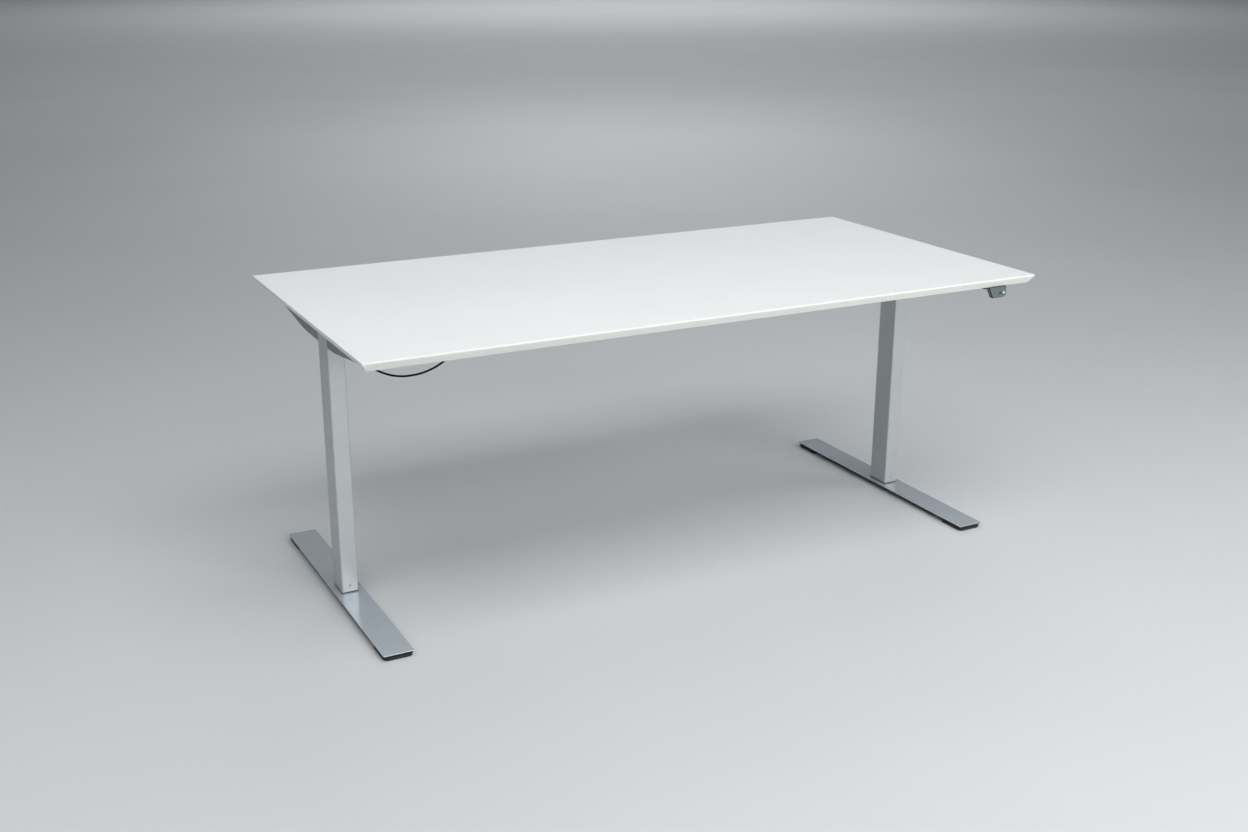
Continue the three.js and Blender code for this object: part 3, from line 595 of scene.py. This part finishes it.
# ---- Desktop -----------------------------------------------------------------
EDGE_LIP = 4
EDGE_DRAWN_IN = 13.6
DESKTOP_EDGE = fillet([(25, UNDERSIDE), (EDGE_DRAWN_IN, UNDERSIDE), (0, HEIGHT - EDGE_LIP), (0, HEIGHT), (8, HEIGHT)],
                      [0, 1.6, 5, 1.1, 0], 5)
piece("desktop_board", layers(rect_outline(*DESKTOP, 3), DESKTOP_EDGE), "top_frame",
      "white_laminate", ["desktop"], second=("white_edge", lambda normal, centre: abs(normal.z) < 0.93))


# ---- Feet --------------------------------------------------------------------
FOOT_SCREW_Y = 18


def foot_screw(y):
    """A countersunk socket screw up into the foot block."""
    body = turned([(0, 9.3), (7.6, 9.3), (7.4, 10.2), (3.9, 13.3), (3.9, 40), (0, 40)], [0, 0.3, 0.2, 0, 0.6, 0])
    return shifted(combined(body, [bar(6, 2.9, 8, 11.6)]), 0, y)


for name, side in SIDES:
    plate_edge = fillet([(12, 9), (5, 9), (0.25, 13.6), (0, 15), (10, 15)], [0, 0.8, 0.8, 1.0, 0], 4)
    sink = turned([(0, 8), (8.2, 8), (8.2, 9.3), (4.3, 13.3), (4.3, 16), (0, 16)], 0)
    plate = combined(layers(rect_outline(*FOOT, 3.4), plate_edge),
                     [shifted(sink, 0, -FOOT_SCREW_Y), shifted(sink, 0, FOOT_SCREW_Y)])
    # Faces below 13.7 mm, the undercut bevel and underside, get the near-black finish as painted shade under the
    # plate.
    piece(f"{name}_foot_plate_steel", at_leg(plate, side), "base", "foot_lacquer",
          [f"{name}_foot_plate"], second=("foot_underside_painted_shade", lambda normal, centre: centre.z < 13.7))
    pad_edge = fillet([(20, 0), (4.2, 0), (2.6, 1.6), (2.2, 8.7), (20, 8.7)], [0, 0.8, 0.6, 0.5, 0], 3)
    for end, way in (("front", -1), ("rear", 1)):
        pad = at_leg(layers(rect_outline(*PAD, 14), pad_edge), side, way * PAD_Y)
        piece(f"{name}_{end}_pad_rubber", pad, "base", "pad_rubber", [f"{name}_{end}_pad"])
        screw = at_leg(foot_screw(way * FOOT_SCREW_Y), side)
        piece(f"{name}_{end}_foot_bolt", screw, "base", "zinc", [f"{name}_{end}_foot_screw"])

# ---- Columns -----------------------------------------------------------------
COLUMN_BOTTOM = 18
COLUMN_TOP = UNDERSIDE - 4
COLUMN_FRONT = -OUTER_COLUMN[1] / 2
INNER_BOTTOM = 15.3
INNER_TOP = 653
MOTOR_Z = UNDERSIDE - 22
PEG_Z = COLUMN_BOTTOM + 16


def lower_glide():
    sleeve = tube(37.4, 67.4, 2.5, 2.4, 16.9, 57.7, 0.3)
    flange_edge = fillet([(0, 16.2), (0, 17.7), (4.7, 17.7), (4.7, 16.2)], 0.35, 2, closed=True)
    flange = layers(rect_outline(*OUTER_COLUMN, 4), flange_edge, ring=True)
    pin = turned([(0, -2), (1.7, -2), (1.7, 2.6), (0, 2.6)], [0, 0, 0.7, 0], 24)
    peg = aimed(pin, (0, -1, 0), (0, -33.2, PEG_Z))
    return combined(sleeve, joins=[flange, peg])


for name, side in SIDES:
    holes = [aimed(bar(40, 10, -3, 6), (0, 1, 0), (0, COLUMN_FRONT, MOTOR_Z)),
             aimed(bar(24, 2.1, -3, 6), (0, 1, 0), (0, COLUMN_FRONT, PEG_Z))]
    column = combined(tube(*OUTER_COLUMN, 4, 2, COLUMN_BOTTOM, COLUMN_TOP), holes)
    piece(f"{name}_outer_column_tube", at_leg(column, side), "top_frame", "column_paint",
          [f"{name}_outer_column"])
    inner = tube(*INNER_COLUMN, 3, 2, INNER_BOTTOM, INNER_TOP, 0.4)
    piece(f"{name}_inner_column_tube", at_leg(inner, side), "base", "inner_column_paint",
          [f"{name}_inner_column"])
    piece(f"{name}_lower_glide_sleeve", at_leg(lower_glide(), side), "top_frame", "glide_plastic",
          [f"{name}_lower_glide"])

dress("glide_plastic", "left_upper_glide", "right_upper_glide")
dress("cast_metal", "left_foot_block", "right_foot_block", "left_gear_housing", "right_gear_housing")
dress("turned_brass", "left_spindle_nut", "right_spindle_nut")
dress("bearing_steel", "left_thrust_bearing", "right_thrust_bearing")
dress("spindle_thread", "left_spindle", "right_spindle")
dress("circuit_green", "circuit_board")

# ---- Arms --------------------------------------------------------------------
ARM_ROOT = 36.3
ARM_TOP = UNDERSIDE - GAP
ARM_HALF = 20
SHEET = 2.5
FOLD = 3.2
INNER_FOLD = 1.2
POCKET_BOTTOM = 590  # below every arm, so that the pocket leaves it open
FRONT_ARM = {"root": 62.5, "kink": (96, 60.5), "tip": (300, 34.5)}
REAR_ARM = {"root": 62.3, "kink": (155, 61.5), "tip": (385, 34.3)}
KINK_RADIUS = 420


def arm_lower_edge(sizes):
    """The lower edge from the column to the tip, as (reach, height)."""
    (kink, kink_depth), (tip, tip_depth) = sizes["kink"], sizes["tip"]
    corners = [(ARM_ROOT, UNDERSIDE - sizes["root"]), (kink, UNDERSIDE - kink_depth),
               (tip, UNDERSIDE - tip_depth), (tip, ARM_TOP)]
    return fillet(corners, [0, KINK_RADIUS, 5, 0], 10)


def channel_section(half, top, fold, bottom):
    """A folded section, from its lower left corner over both folds to its lower right one."""
    return fillet([(-half, bottom), (-half, top), (half, top), (half, bottom)], [0, fold, fold, 0], 5)


def arm(sizes, way):
    """A channel of folded sheet, open below, that gets shallower from the column to its tip."""
    lower = arm_lower_edge(sizes)[:-1]
    tip = sizes["tip"][0]
    solid = skinned([[Vector((px, reach, pz)) for px, pz in channel_section(ARM_HALF, ARM_TOP, FOLD, bottom)]
                     for reach, bottom in lower])
    web = ARM_TOP - SHEET
    section = channel_section(ARM_HALF - SHEET, web, INNER_FOLD, POCKET_BOTTOM)
    pocket = skinned([[Vector((px, reach, pz)) for px, pz in section] for reach in (ARM_ROOT - 5, tip - SHEET)])
    shape = combined(facing_out(solid), [facing_out(pocket)])
    return moved(shape, Matrix.Diagonal((1, way, 1, 1)))


for name, side in SIDES:
    for end, sizes, way in (("front", FRONT_ARM, -1), ("rear", REAR_ARM, 1)):
        # The arms take the darkened silver paint, painted shade for the shade under the desktop.
        piece(f"{name}_{end}_arm_channel", at_leg(arm(sizes, way), side), "top_frame", "arm_paint_painted_shade",
              [f"{name}_{end}_arm"], bevel=0.35)


# ---- Motors ------------------------------------------------------------------
GLAND_Y = -155
GLAND_Z = UNDERSIDE - 43


def motor():
    """A gear motor's can lying along -Y, with a rolled groove, a crimped end and a stepped nose."""
    profile = [(0, 24), (9, 24), (9, 42.6), (14, 42.6), (17, 48.6), (17, 62), (16.3, 62.8), (16.3, 65.2),
               (17, 66), (17, 138), (16.5, 139), (16.5, 146), (17, 147), (17, 150), (0, 150)]
    radii = [0, 0.6, 0.3, 0.8, 1, 0.3, 0.3, 0.3, 0.3, 0.3, 0.3, 0.3, 0.3, 0.6, 0]
    return shifted(aimed(turned(profile, radii, 56), (0, -1, 0)), 0, 0, MOTOR_Z)


def motor_cap():
    dome = turned([(0, 150.3), (17, 150.3), (17, 161), (0, 161)], [0, 0.5, 3, 0], 56)
    body = shifted(aimed(dome, (0, -1, 0)), 0, 0, MOTOR_Z)
    gland = turned([(0, 0), (3.3, 0), (3.9, 3.5), (3.5, 4.1), (4.1, 6.2), (3.7, 6.8), (4.4, 8.6), (4.4, 14), (0, 14)],
                   0.15, 32)
    return combined(body, joins=[shifted(gland, 0, GLAND_Y, GLAND_Z)])


for name, side in SIDES:
    piece(f"{name}_motor_can", at_leg(motor(), side), "top_frame", "motor_paint", [f"{name}_motor"])
    piece(f"{name}_motor_end_cap", at_leg(motor_cap(), side), "top_frame", "box_plastic",
          [f"{name}_motor_cap"])

# ---- Rails -------------------------------------------------------------------
RAIL_Y = 180
RAIL = (36, 30)
END_PLATE = (37.2, 66)
RAIL_TOP = UNDERSIDE - 1
RAIL_MIDDLE = RAIL_TOP - 18
RAIL_END = LEG_X - ARM_HALF - GAP
RAIL_INNER = RAIL_END - 3
BOLT_REACH = 24
BOLT_GRIP = 13.2
HEX_RADIUS = 4.9


def along_x(shape, x=0.0, y=0.0, z=0.0, way=1):
    """Lays a shape drawn standing on Z along +X or -X, its X turned down or up."""
    basis = Matrix(((0, 0, way, 0), (0, 1, 0, 0), (-way, 0, 0, 0), (0, 0, 0, 1)))
    return moved(shape, Matrix.Translation((x, y, z)) @ basis)


def weld_bead(width, depth, corner, size=2.2):
    """A fillet weld, with its ripples, round a rectangular tube where it meets a plate at z = 0."""
    loop = [Vector((*point, 0)) for point in round_rect(width, depth, corner, 6)]
    line = []
    for a, b in zip(loop, loop[1:] + loop[:1]):
        pieces = max(1, round((b - a).length / 0.9))
        line += [a.lerp(b, i / pieces) for i in range(pieces)]
    sections = []
    for i, place in enumerate(line):
        ahead = (line[(i + 1) % len(line)] - line[i - 1]).normalized()
        out = Vector((ahead.y, -ahead.x, 0))
        swell = size * (1 + 0.13 * math.sin(i * 1.75) + 0.06 * math.sin(i * 0.61 + 1))
        section = []
        for step in range(5):
            angle = math.pi / 2 * step / 4
            bulge = out * (swell * math.cos(angle) ** 0.8) + Vector((0, 0, -swell * math.sin(angle) ** 0.8))
            section.append(place + bulge + Vector((0, 0, 0.3)))
        section.append(place - out * 0.6 + Vector((0, 0, 0.6)))
        sections.append(section)
    return facing_out(skinned(sections, ring=True))


def rail():
    shape = along_x(tube(*RAIL, 3, 2, -RAIL_INNER - 1, RAIL_INNER + 1), z=RAIL_MIDDLE)
    holes = [bar(32, 6, -1, 4)] + [shifted(bar(24, 3.3, -1, 4), 0, y) for y in (-BOLT_REACH, BOLT_REACH)]
    plate = combined(slab(rect_outline(*END_PLATE, 3), 0, 3, 0.4), holes)
    plates = [along_x(plate, x=way * RAIL_INNER, z=RAIL_MIDDLE, way=way) for way in (-1, 1)]
    return combined(shape, joins=plates)


def rail_welds(y):
    beads = [along_x(weld_bead(*RAIL, 3), x=way * RAIL_INNER, y=y, z=RAIL_MIDDLE, way=way) for way in (-1, 1)]
    return merged(*beads)


def hexagon(inset):
    return regular(6, HEX_RADIUS - inset)


def hex_bolt(grip):
    """A flanged hex bolt whose head sits on z = 0 and points to -Z, with its shank going up by grip."""
    head = layers(hexagon, [(0.9, -5), (0.25, -4.7), (0, -4.2), (0, -0.9)])
    flange = turned([(0, -1.2), (4.4, -1.2), (6.3, 0), (0, 0)], [0, 0.2, 0.25, 0], 36)
    shank = turned([(0, -0.5), (2.9, -0.5), (2.9, grip), (0, grip)], [0, 0, 0.5, 0], 24)
    return combined(flange, joins=[head, shank])


def hex_nut():
    """A flanged hex nut standing on z = 0."""
    body = layers(hexagon, [(0, 0.8), (0, 4.4), (0.3, 4.9), (0.9, 5.1)])
    flange = turned([(0, 0), (6.3, 0), (4.4, 1.2), (0, 1.2)], [0, 0.25, 0.2, 0], 36)
    return combined(flange, [bar(24, 2.95, -1, 7)], [body])


for end, way in (("front", -1), ("rear", 1)):
    y = SETBACK + way * RAIL_Y
    piece(f"{end}_rail_tube", shifted(rail(), 0, y), "top_frame", "rail_paint", [f"{end}_rail"],
          bevel=0.25)
    piece(f"{end}_rail_welds", rail_welds(y), "top_frame", "rail_paint")
    bolts, nuts = [], []
    bolt, nut = hex_bolt(BOLT_GRIP), hex_nut()
    for _, side in SIDES:
        for reach in (-BOLT_REACH, BOLT_REACH):
            bolts.append(aimed(bolt, (side, 0, 0), (side * RAIL_INNER, y + reach, RAIL_MIDDLE)))
            nuts.append(aimed(nut, (side, 0, 0), (side * (LEG_X - ARM_HALF + SHEET), y + reach, RAIL_MIDDLE)))
    piece(f"{end}_rail_bolts", merged(*bolts), "top_frame", "zinc", bevel=0.15)
    piece(f"{end}_rail_nuts", merged(*nuts), "top_frame", "zinc", bevel=0.15)


# ---- Screws ------------------------------------------------------------------
def pan_screw(head=4.2, height=2.4, shank=1.7, length=12):
    """A pan head screw driven up from below: its head hangs under z = 0, with a star socket."""
    body = turned([(0, -height), (head * 0.55, -height), (head, -height * 0.35), (head, 0), (shank, 0),
                   (shank, length - 3), (0, length)], [0, 0.8, 0.5, 0.2, 0, 0, 0], 32)
    star = [bar(6, head * 0.42, -height - 1, -height + 1.3, turn) for turn in (0.0, math.pi / 6)]
    return combined(body, star)


def screws(name, places, **sizes):
    screw = pan_screw(**sizes)
    piece(name, merged(*(shifted(screw, *place) for place in places)), "top_frame", "zinc")


ARM_SCREW_START = 75  # past an arm's kink
ARM_SCREW_END = 22  # before its tip
arm_places = []
for _, side in SIDES:
    for sizes, way in ((FRONT_ARM, -1), (REAR_ARM, 1)):
        first, last = sizes["kink"][0] + ARM_SCREW_START, sizes["tip"][0] - ARM_SCREW_END
        for reach in (first, (first + last) / 2, last):
            arm_places.append((side * LEG_X, SETBACK + way * reach, ARM_TOP - SHEET))
screws("desktop_screws", arm_places, head=5, height=2.8, shank=2.2, length=16)

# ---- Control box -------------------------------------------------------------
BOX_WIDTH, BOX_DEPTH, BOX_Y = 260, 70, -115
BOX_BOTTOM = UNDERSIDE - 38
TRAY_BOTTOM = UNDERSIDE - GAP - 2
PORT_Z = UNDERSIDE - 20
MOTOR_PORT_Y, OTHER_PORT_Y = -130, -104
MOTOR_PLUG, HANDSET_PLUG, INLET = (15, 11), (12, 10), (28, 20)
EAR_X, EAR_Y = 106, -113.5
EAR_SCREW_YS = (-153, -74)


def port(y, width, height, way, grow=0.0):
    """A cutter for a plug's opening in one end of the box."""
    low, high = sorted(((BOX_WIDTH / 2 + 1) * way, (BOX_WIDTH / 2 - 5) * way))
    return cuboid((low, y - width / 2 - grow, PORT_Z - height / 2 - grow),
                  (high, y + width / 2 + grow, PORT_Z + height / 2 + grow))


def box_cover():
    shell_edge = fillet([(10, BOX_BOTTOM), (0, BOX_BOTTOM), (0, TRAY_BOTTOM - GAP), (2.5, TRAY_BOTTOM - GAP),
                         (2.5, BOX_BOTTOM + 2.5), (12, BOX_BOTTOM + 2.5)], [0, 3.5, 0.3, 0.3, 1.5, 0], 5)
    shell = shifted(layers(rect_outline(BOX_WIDTH, BOX_DEPTH, 6), shell_edge), 0, BOX_Y)
    slot = layers(rect_outline(2.4, 34, 1.2, 5), [(0, BOX_BOTTOM - 1), (0, BOX_BOTTOM + 4)])
    slots = [shifted(slot, -60 + 10 * i, BOX_Y) for i in range(13)]
    ports = [port(MOTOR_PORT_Y, *MOTOR_PLUG, -1, GAP), port(OTHER_PORT_Y, *INLET, -1, GAP),
             port(MOTOR_PORT_Y, *MOTOR_PLUG, 1, GAP), port(OTHER_PORT_Y, *HANDSET_PLUG, 1, GAP)]
    return combined(shell, slots + ports)


def box_tray():
    lid = shifted(slab(rect_outline(BOX_WIDTH, BOX_DEPTH, 6), TRAY_BOTTOM, UNDERSIDE - GAP, 0.3), 0, BOX_Y)
    ear = slab(rect_outline(16, 91, 4), TRAY_BOTTOM + 0.02, UNDERSIDE - GAP - 0.02, 0.3)
    return combined(lid, joins=[shifted(ear, x, EAR_Y) for x in (-EAR_X, EAR_X)])


def plug(y, width, height, way):
    """A moulded plug with a ribbed grip, seated in the box's end."""
    face = BOX_WIDTH / 2
    nose = slab(rect_outline(height, width, 1), face - 8, face + 2, 0.3)
    ribs = [(0.3, face + 1), (0, face + 2), (0, face + 6)]
    for i in range(5):
        start = face + 7 + i * 2.6
        ribs += [(0, start), (0.55, start + 0.4), (0.55, start + 1.3), (0, start + 1.7)]
    ribs += [(0, face + 22), (1.6, face + 25.7), (2.2, face + 26)]
    grip = layers(rect_outline(height + 3, width + 4, 3), ribs)
    return along_x(combined(nose, joins=[grip]), y=y, z=PORT_Z, way=way)


def mains_inlet():
    """An appliance inlet with three flat pins, for a mains lead that isn't part of the desk."""
    face = BOX_WIDTH / 2 + 1
    body = slab(rect_outline(20, 28, 2.5), face - 14, face, 0.5)
    hollow = slab(rect_outline(15, 23, 3), face - 11, face + 2, 0.3)
    pins = [shifted(slab(rect_outline(4, 1.8, 0.5, 3), face - 12, face - 2, 0.3), 0, y) for y in (-7, 0, 7)]
    return [along_x(shape, y=OTHER_PORT_Y, z=PORT_Z, way=-1) for shape in (combined(body, [hollow]), merged(*pins))]


piece("control_box_case", shifted(box_cover(), 0, SETBACK), "top_frame", "box_plastic",
      ["control_box_cover"])
piece("control_box_lid", shifted(box_tray(), 0, SETBACK), "top_frame", "tray_paint",
      ["control_box_tray"])
inlet, inlet_pins = mains_inlet()
piece("mains_inlet_body", shifted(inlet, 0, SETBACK), "top_frame", "clip_plastic", ["mains_inlet"])
piece("mains_inlet_pins", shifted(inlet_pins, 0, SETBACK), "top_frame", "turned_brass")
for node, y, size, way in (("left_motor_plug", MOTOR_PORT_Y, MOTOR_PLUG, -1),
                           ("right_motor_plug", MOTOR_PORT_Y, MOTOR_PLUG, 1),
                           ("handset_plug", OTHER_PORT_Y, HANDSET_PLUG, 1)):
    body = shifted(plug(y, *size, way), 0, SETBACK)
    piece(f"{node}_body", body, "top_frame", "clip_plastic", [node])
screws("control_box_screws", [(x, SETBACK + y, TRAY_BOTTOM) for x in (-EAR_X, EAR_X) for y in EAR_SCREW_YS])

# ---- Handset -----------------------------------------------------------------
HANDSET_TOP = UNDERSIDE - GAP
HANDSET_BOTTOM = UNDERSIDE - 30
HANDSET_LEFT, HANDSET_RIGHT = 758, 817
SLANT_END = 773.5  # where the slanting left side meets the bottom
BUTTON_Z = UNDERSIDE - 17.5
UP_BUTTON_X, DOWN_BUTTON_X = 807.5, 796
HANDSET_FRONT, HANDSET_REAR = 438, 427  # distances in front of the desktop's middle line
FACE_REAR, FACE_FRONT = HANDSET_FRONT + GAP, HANDSET_FRONT + GAP + 2
HANDSET_GLAND = (790, -428.7, UNDERSIDE - 13.4)
FLANGE = (71, 42)
FLANGE_MIDDLE = (781.5, -417)
FLANGE_BOTTOM = HANDSET_TOP - 3
HANDSET_SCREWS = ((755, -405), (808, -405))


def handset_loop(inset, top):
    """The hanging body's outline in X and Z, with a slanting left side and a round corner, drawn in by inset."""
    bottom = HANDSET_BOTTOM + inset
    right = HANDSET_RIGHT - inset
    corners = [(HANDSET_LEFT + inset * 1.3, top), (SLANT_END + inset * 0.6, bottom), (right, bottom), (right, top)]
    return fillet(corners, [1.2, 2.6, 8, 1.2], 7, closed=True)


def upright(shape):
    """Turns a shape drawn in X, Y and standing on Z so that its Y becomes Z and its Z becomes -Y."""
    basis = Matrix(((1, 0, 0, 0), (0, 0, -1, 0), (0, 1, 0, 0), (0, 0, 0, 1)))
    return moved(shape, basis)


def handset_shell():
    flange = shifted(slab(rect_outline(*FLANGE, 3), FLANGE_BOTTOM, HANDSET_TOP, 0.7), *FLANGE_MIDDLE)
    body = upright(extruded(handset_loop(0, HANDSET_TOP - 1), HANDSET_REAR, HANDSET_FRONT, 0.9, 4))
    cavity = upright(extruded(handset_loop(3, FLANGE_BOTTOM - 3), HANDSET_REAR + 3, HANDSET_FRONT + 2))
    gland_profile = [(0, 0), (3.9, 0), (3.9, 4), (3, 4.5), (3.5, 7), (2.7, 7.5), (3.2, 10), (2.5, 10.5),
                     (2.5, 15.7), (0, 15.7)]
    gland = aimed(turned(gland_profile, 0.2, 28), (0, 1, 0), HANDSET_GLAND)
    return combined(flange, [cavity], [body, gland])


def handset_face():
    """A glossy face plate with a soft edge and a shallow ring round each button."""
    plate = upright(extruded(handset_loop(1.5, HANDSET_TOP - 0.7), FACE_REAR, FACE_FRONT, 0.6, 3))
    rings, holes = [], []
    for x in (UP_BUTTON_X, DOWN_BUTTON_X):
        holes.append(aimed(bar(40, 3.7, -1, 3), (0, 1, 0), (x, -FACE_FRONT - 0.2, BUTTON_Z)))
        groove = layers(rect_outline(10.2, 10.2, 5.1, 10), [(0, 0), (0, 1), (0.5, 1), (0.5, 0)], ring=True)
        rings.append(aimed(groove, (0, -1, 0), (x, 0.25 - FACE_FRONT, BUTTON_Z)))
    return combined(plate, holes + rings)


def button_cap():
    """A round key with a flange behind the face and a dished front, standing on Z."""
    return turned([(0, -2.2), (4.3, -2.2), (4.3, -1), (3.4, -1), (3.4, 3.1), (2.2, 3.25), (0, 2.95)],
                  [0, 0.2, 0.2, 0, 0.5, 0.6, 0], 40)


piece("handset_housing", handset_shell(), "top_frame", "handset_black", ["handset_shell"])
piece("handset_face_plate", handset_face(), "top_frame", "handset_grey", ["handset_face"])
for which, x, look, slot in (("up", UP_BUTTON_X, "button_silver", "button_silver"),
                             ("down", DOWN_BUTTON_X, "button_dark", "button_dark")):
    cap = aimed(button_cap(), (0, -1, 0), (x, -FACE_REAR, BUTTON_Z))
    piece(f"{which}_button_cap", cap, f"{which}_button", look, [f"{which}_button"])
screws("handset_screws", [(*place, FLANGE_BOTTOM) for place in HANDSET_SCREWS], head=3.4)


# ---- Clips -------------------------------------------------------------------
RAIL_LEAD_Y = -160.5
RAIL_LEAD_Z = UNDERSIDE - 24
RAIL_REAR_FACE = RAIL[1] / 2 - RAIL_Y
RAIL_CLIPS = {"left_lead_outer_clip": -490, "left_lead_inner_clip": -275,
              "right_lead_outer_clip": 690, "right_lead_inner_clip": 275}
HANDSET_LEAD_DROP = 4.3
LEAD_MIDDLE_KNOT = 8  # of the handset lead, between its two clips


def rail_clip(x):
    """A saddle on the rear face of the front rail, round a motor lead."""
    face = RAIL_REAR_FACE + GAP
    centre = RAIL_LEAD_Y - face
    outer = LEAD_DIAMETER / 2 + 2.5
    loop = [(0, 12), (0, -5)] + [(centre + outer * math.cos(a), outer * math.sin(a))
                                 for a in (math.radians(t) for t in range(-75, 76, 15))] + [(3, 6.5), (3, 12)]
    body = extruded(fillet(loop, [0.6, 0.6] + [0] * (len(loop) - 4) + [1.2, 0.6], 3, closed=True), -5, 5, 0.5)
    hoop = combined(body, [shifted(bar(28, LEAD_DIAMETER / 2 + GAP / 2, -7, 7), centre)])
    basis = Matrix(((0, 0, 1, x), (1, 0, 0, face), (0, 1, 0, RAIL_LEAD_Z), (0, 0, 0, 1)))
    return moved(hoop, basis)


def desktop_clip(index):
    """A saddle under the desktop, round the handset lead."""
    place, ahead = Vector(HANDSET_LEAD[index]), Vector(HANDSET_LEAD[LEAD_MIDDLE_KNOT])
    centre = GAP - HANDSET_LEAD_DROP
    outer = HANDSET_LEAD_DIAMETER / 2 + 2.2
    loop = [(-11, 0), (-11, -2.4), (-4.6, -2.6)] + [
        (outer * math.cos(a), centre + outer * math.sin(a)) for a in (math.radians(t) for t in range(-160, 1, 20))
    ] + [(4.6, 0)]
    body = extruded(fillet(loop, [0.5, 0.8, 0.8] + [0] * (len(loop) - 4) + [0.3], 3, closed=True), -5, 5, 0.5)
    body = combined(body, [shifted(bar(28, HANDSET_LEAD_DIAMETER / 2 + GAP / 2, -7, 7), 0, centre)])
    turn = math.atan2(ahead.y - place.y, ahead.x - place.x)
    basis = Matrix(((0, 0, 1, 0), (1, 0, 0, 0), (0, 1, 0, 0), (0, 0, 0, 1)))
    stand = Matrix.Translation((place.x, place.y, UNDERSIDE - GAP)) @ Matrix.Rotation(turn, 4, "Z")
    return moved(body, stand @ basis)


for node, x in RAIL_CLIPS.items():
    saddle = shifted(rail_clip(x), 0, SETBACK)
    piece(f"{node}_saddle", saddle, "top_frame", "clip_plastic", [node])
for node, index in (("handset_lead_outer_clip", LEAD_MIDDLE_KNOT - 1),
                    ("handset_lead_inner_clip", LEAD_MIDDLE_KNOT + 1)):
    saddle = shifted(desktop_clip(index), 0, SETBACK)
    piece(f"{node}_saddle", saddle, "top_frame", "clip_plastic", [node])

# ---- Studio ------------------------------------------------------------------
FLOOR_RADIUS = 45
WALL_HEIGHT = 14
COVE_RADIUS = 6
COVE_STEPS = 12
AROUND = 96
FLOOR_COLORS = ((0.57, 0.588, 0.602, 1), (0.59, 0.608, 0.622, 1))
WORLD_COLOR = (0.93, 0.965, 1.0, 1)
WORLD_STRENGTH = 0.2


def make_floor():
    """A round floor that curves up into a low wall far behind everything, so that no horizon line shows."""
    ring = [(0.0, 0.0), (FLOOR_RADIUS / 2, 0.0)]
    for step in range(COVE_STEPS + 1):
        angle = math.pi / 2 * step / COVE_STEPS
        ring.append((FLOOR_RADIUS + COVE_RADIUS * math.sin(angle), COVE_RADIUS * (1 - math.cos(angle))))
    ring.append((FLOOR_RADIUS + COVE_RADIUS, WALL_HEIGHT))
    points = [(0.0, 0.0, 0.0)]
    for radius, height in ring[1:]:
        points += [(x, y, height) for x, y in regular(AROUND, radius)]
    faces = [(0, 1 + i, 1 + (i + 1) % AROUND) for i in range(AROUND)]
    for level in range(len(ring) - 2):
        low, high = 1 + level * AROUND, 1 + (level + 1) * AROUND
        faces += [(low + i, high + i, high + (i + 1) % AROUND, low + (i + 1) % AROUND) for i in range(AROUND)]
    mesh = bpy.data.meshes.new("studio_floor")
    mesh.from_pydata(points, [], faces)
    for face in mesh.polygons:
        face.use_smooth = True
    nodes = Nodes("studio_floor")
    base = nodes.blend(nodes.spread(nodes.noise(1.5, 3), 0, 1), *FLOOR_COLORS)
    mesh.materials.append(nodes.finish(Base_Color=base, Roughness=0.75, Specular_IOR_Level=0.2))
    floor = new_object("studio_floor", mesh)


def softbox(name, place, target, width, height, watts, spread=180):
    data = bpy.data.lights.new(name, "AREA")
    data.shape = "RECTANGLE"
    data.size, data.size_y = width, height
    data.energy = watts
    data.spread = math.radians(spread)
    light = new_object(name, data)
    light.location = place
    light.rotation_euler = (Vector(target) - Vector(place)).to_track_quat("-Z", "Y").to_euler()
    light.visible_camera = False


make_floor()
softbox("left_softbox", (-5, -1.5, 3), (0, 0, 0.4), 3.0, 3.0, 35)
softbox("right_softbox", (5, -2.6, 3.4), (0, 0, 0.4), 3.0, 3.0, 60)
softbox("front_softbox", (0.6, -5, 3.2), (0, 0, 0.4), 4.0, 2.6, 79)
softbox("low_softbox", (1.6, -5.5, 1.3), (0.6, 0, 0.3), 3.0, 1.6, 23, spread=75)
softbox("top_softbox", (-0.8, -2.4, 4.6), (-0.8, -2.4, 0), 5.0, 2.6, 157)
softbox("rear_softbox", (0.5, 1.8, 4.6), (0.5, 1, 0), 5.0, 3.0, 21)
softbox("backdrop_softbox", (5.5, 10, 9), (5.5, 10.5, 0), 7.0, 7.0, 373)
softbox("middle_backdrop_softbox", (3.3, 6.5, 5.5), (3.35, 6.6, 0), 2.5, 5.5, 24, spread=75)
softbox("far_backdrop_softbox", (13.4, 25.4, 18), (13.4, 25.5, 0), 16.0, 12.0, 800, spread=85)
world = bpy.data.worlds.new("studio")
bpy.context.scene.world = world
world.use_nodes = True
background = world.node_tree.nodes["Background"]
background.inputs["Color"].default_value = WORLD_COLOR
background.inputs["Strength"].default_value = WORLD_STRENGTH
bpy.context.scene.view_settings.view_transform = "Standard"
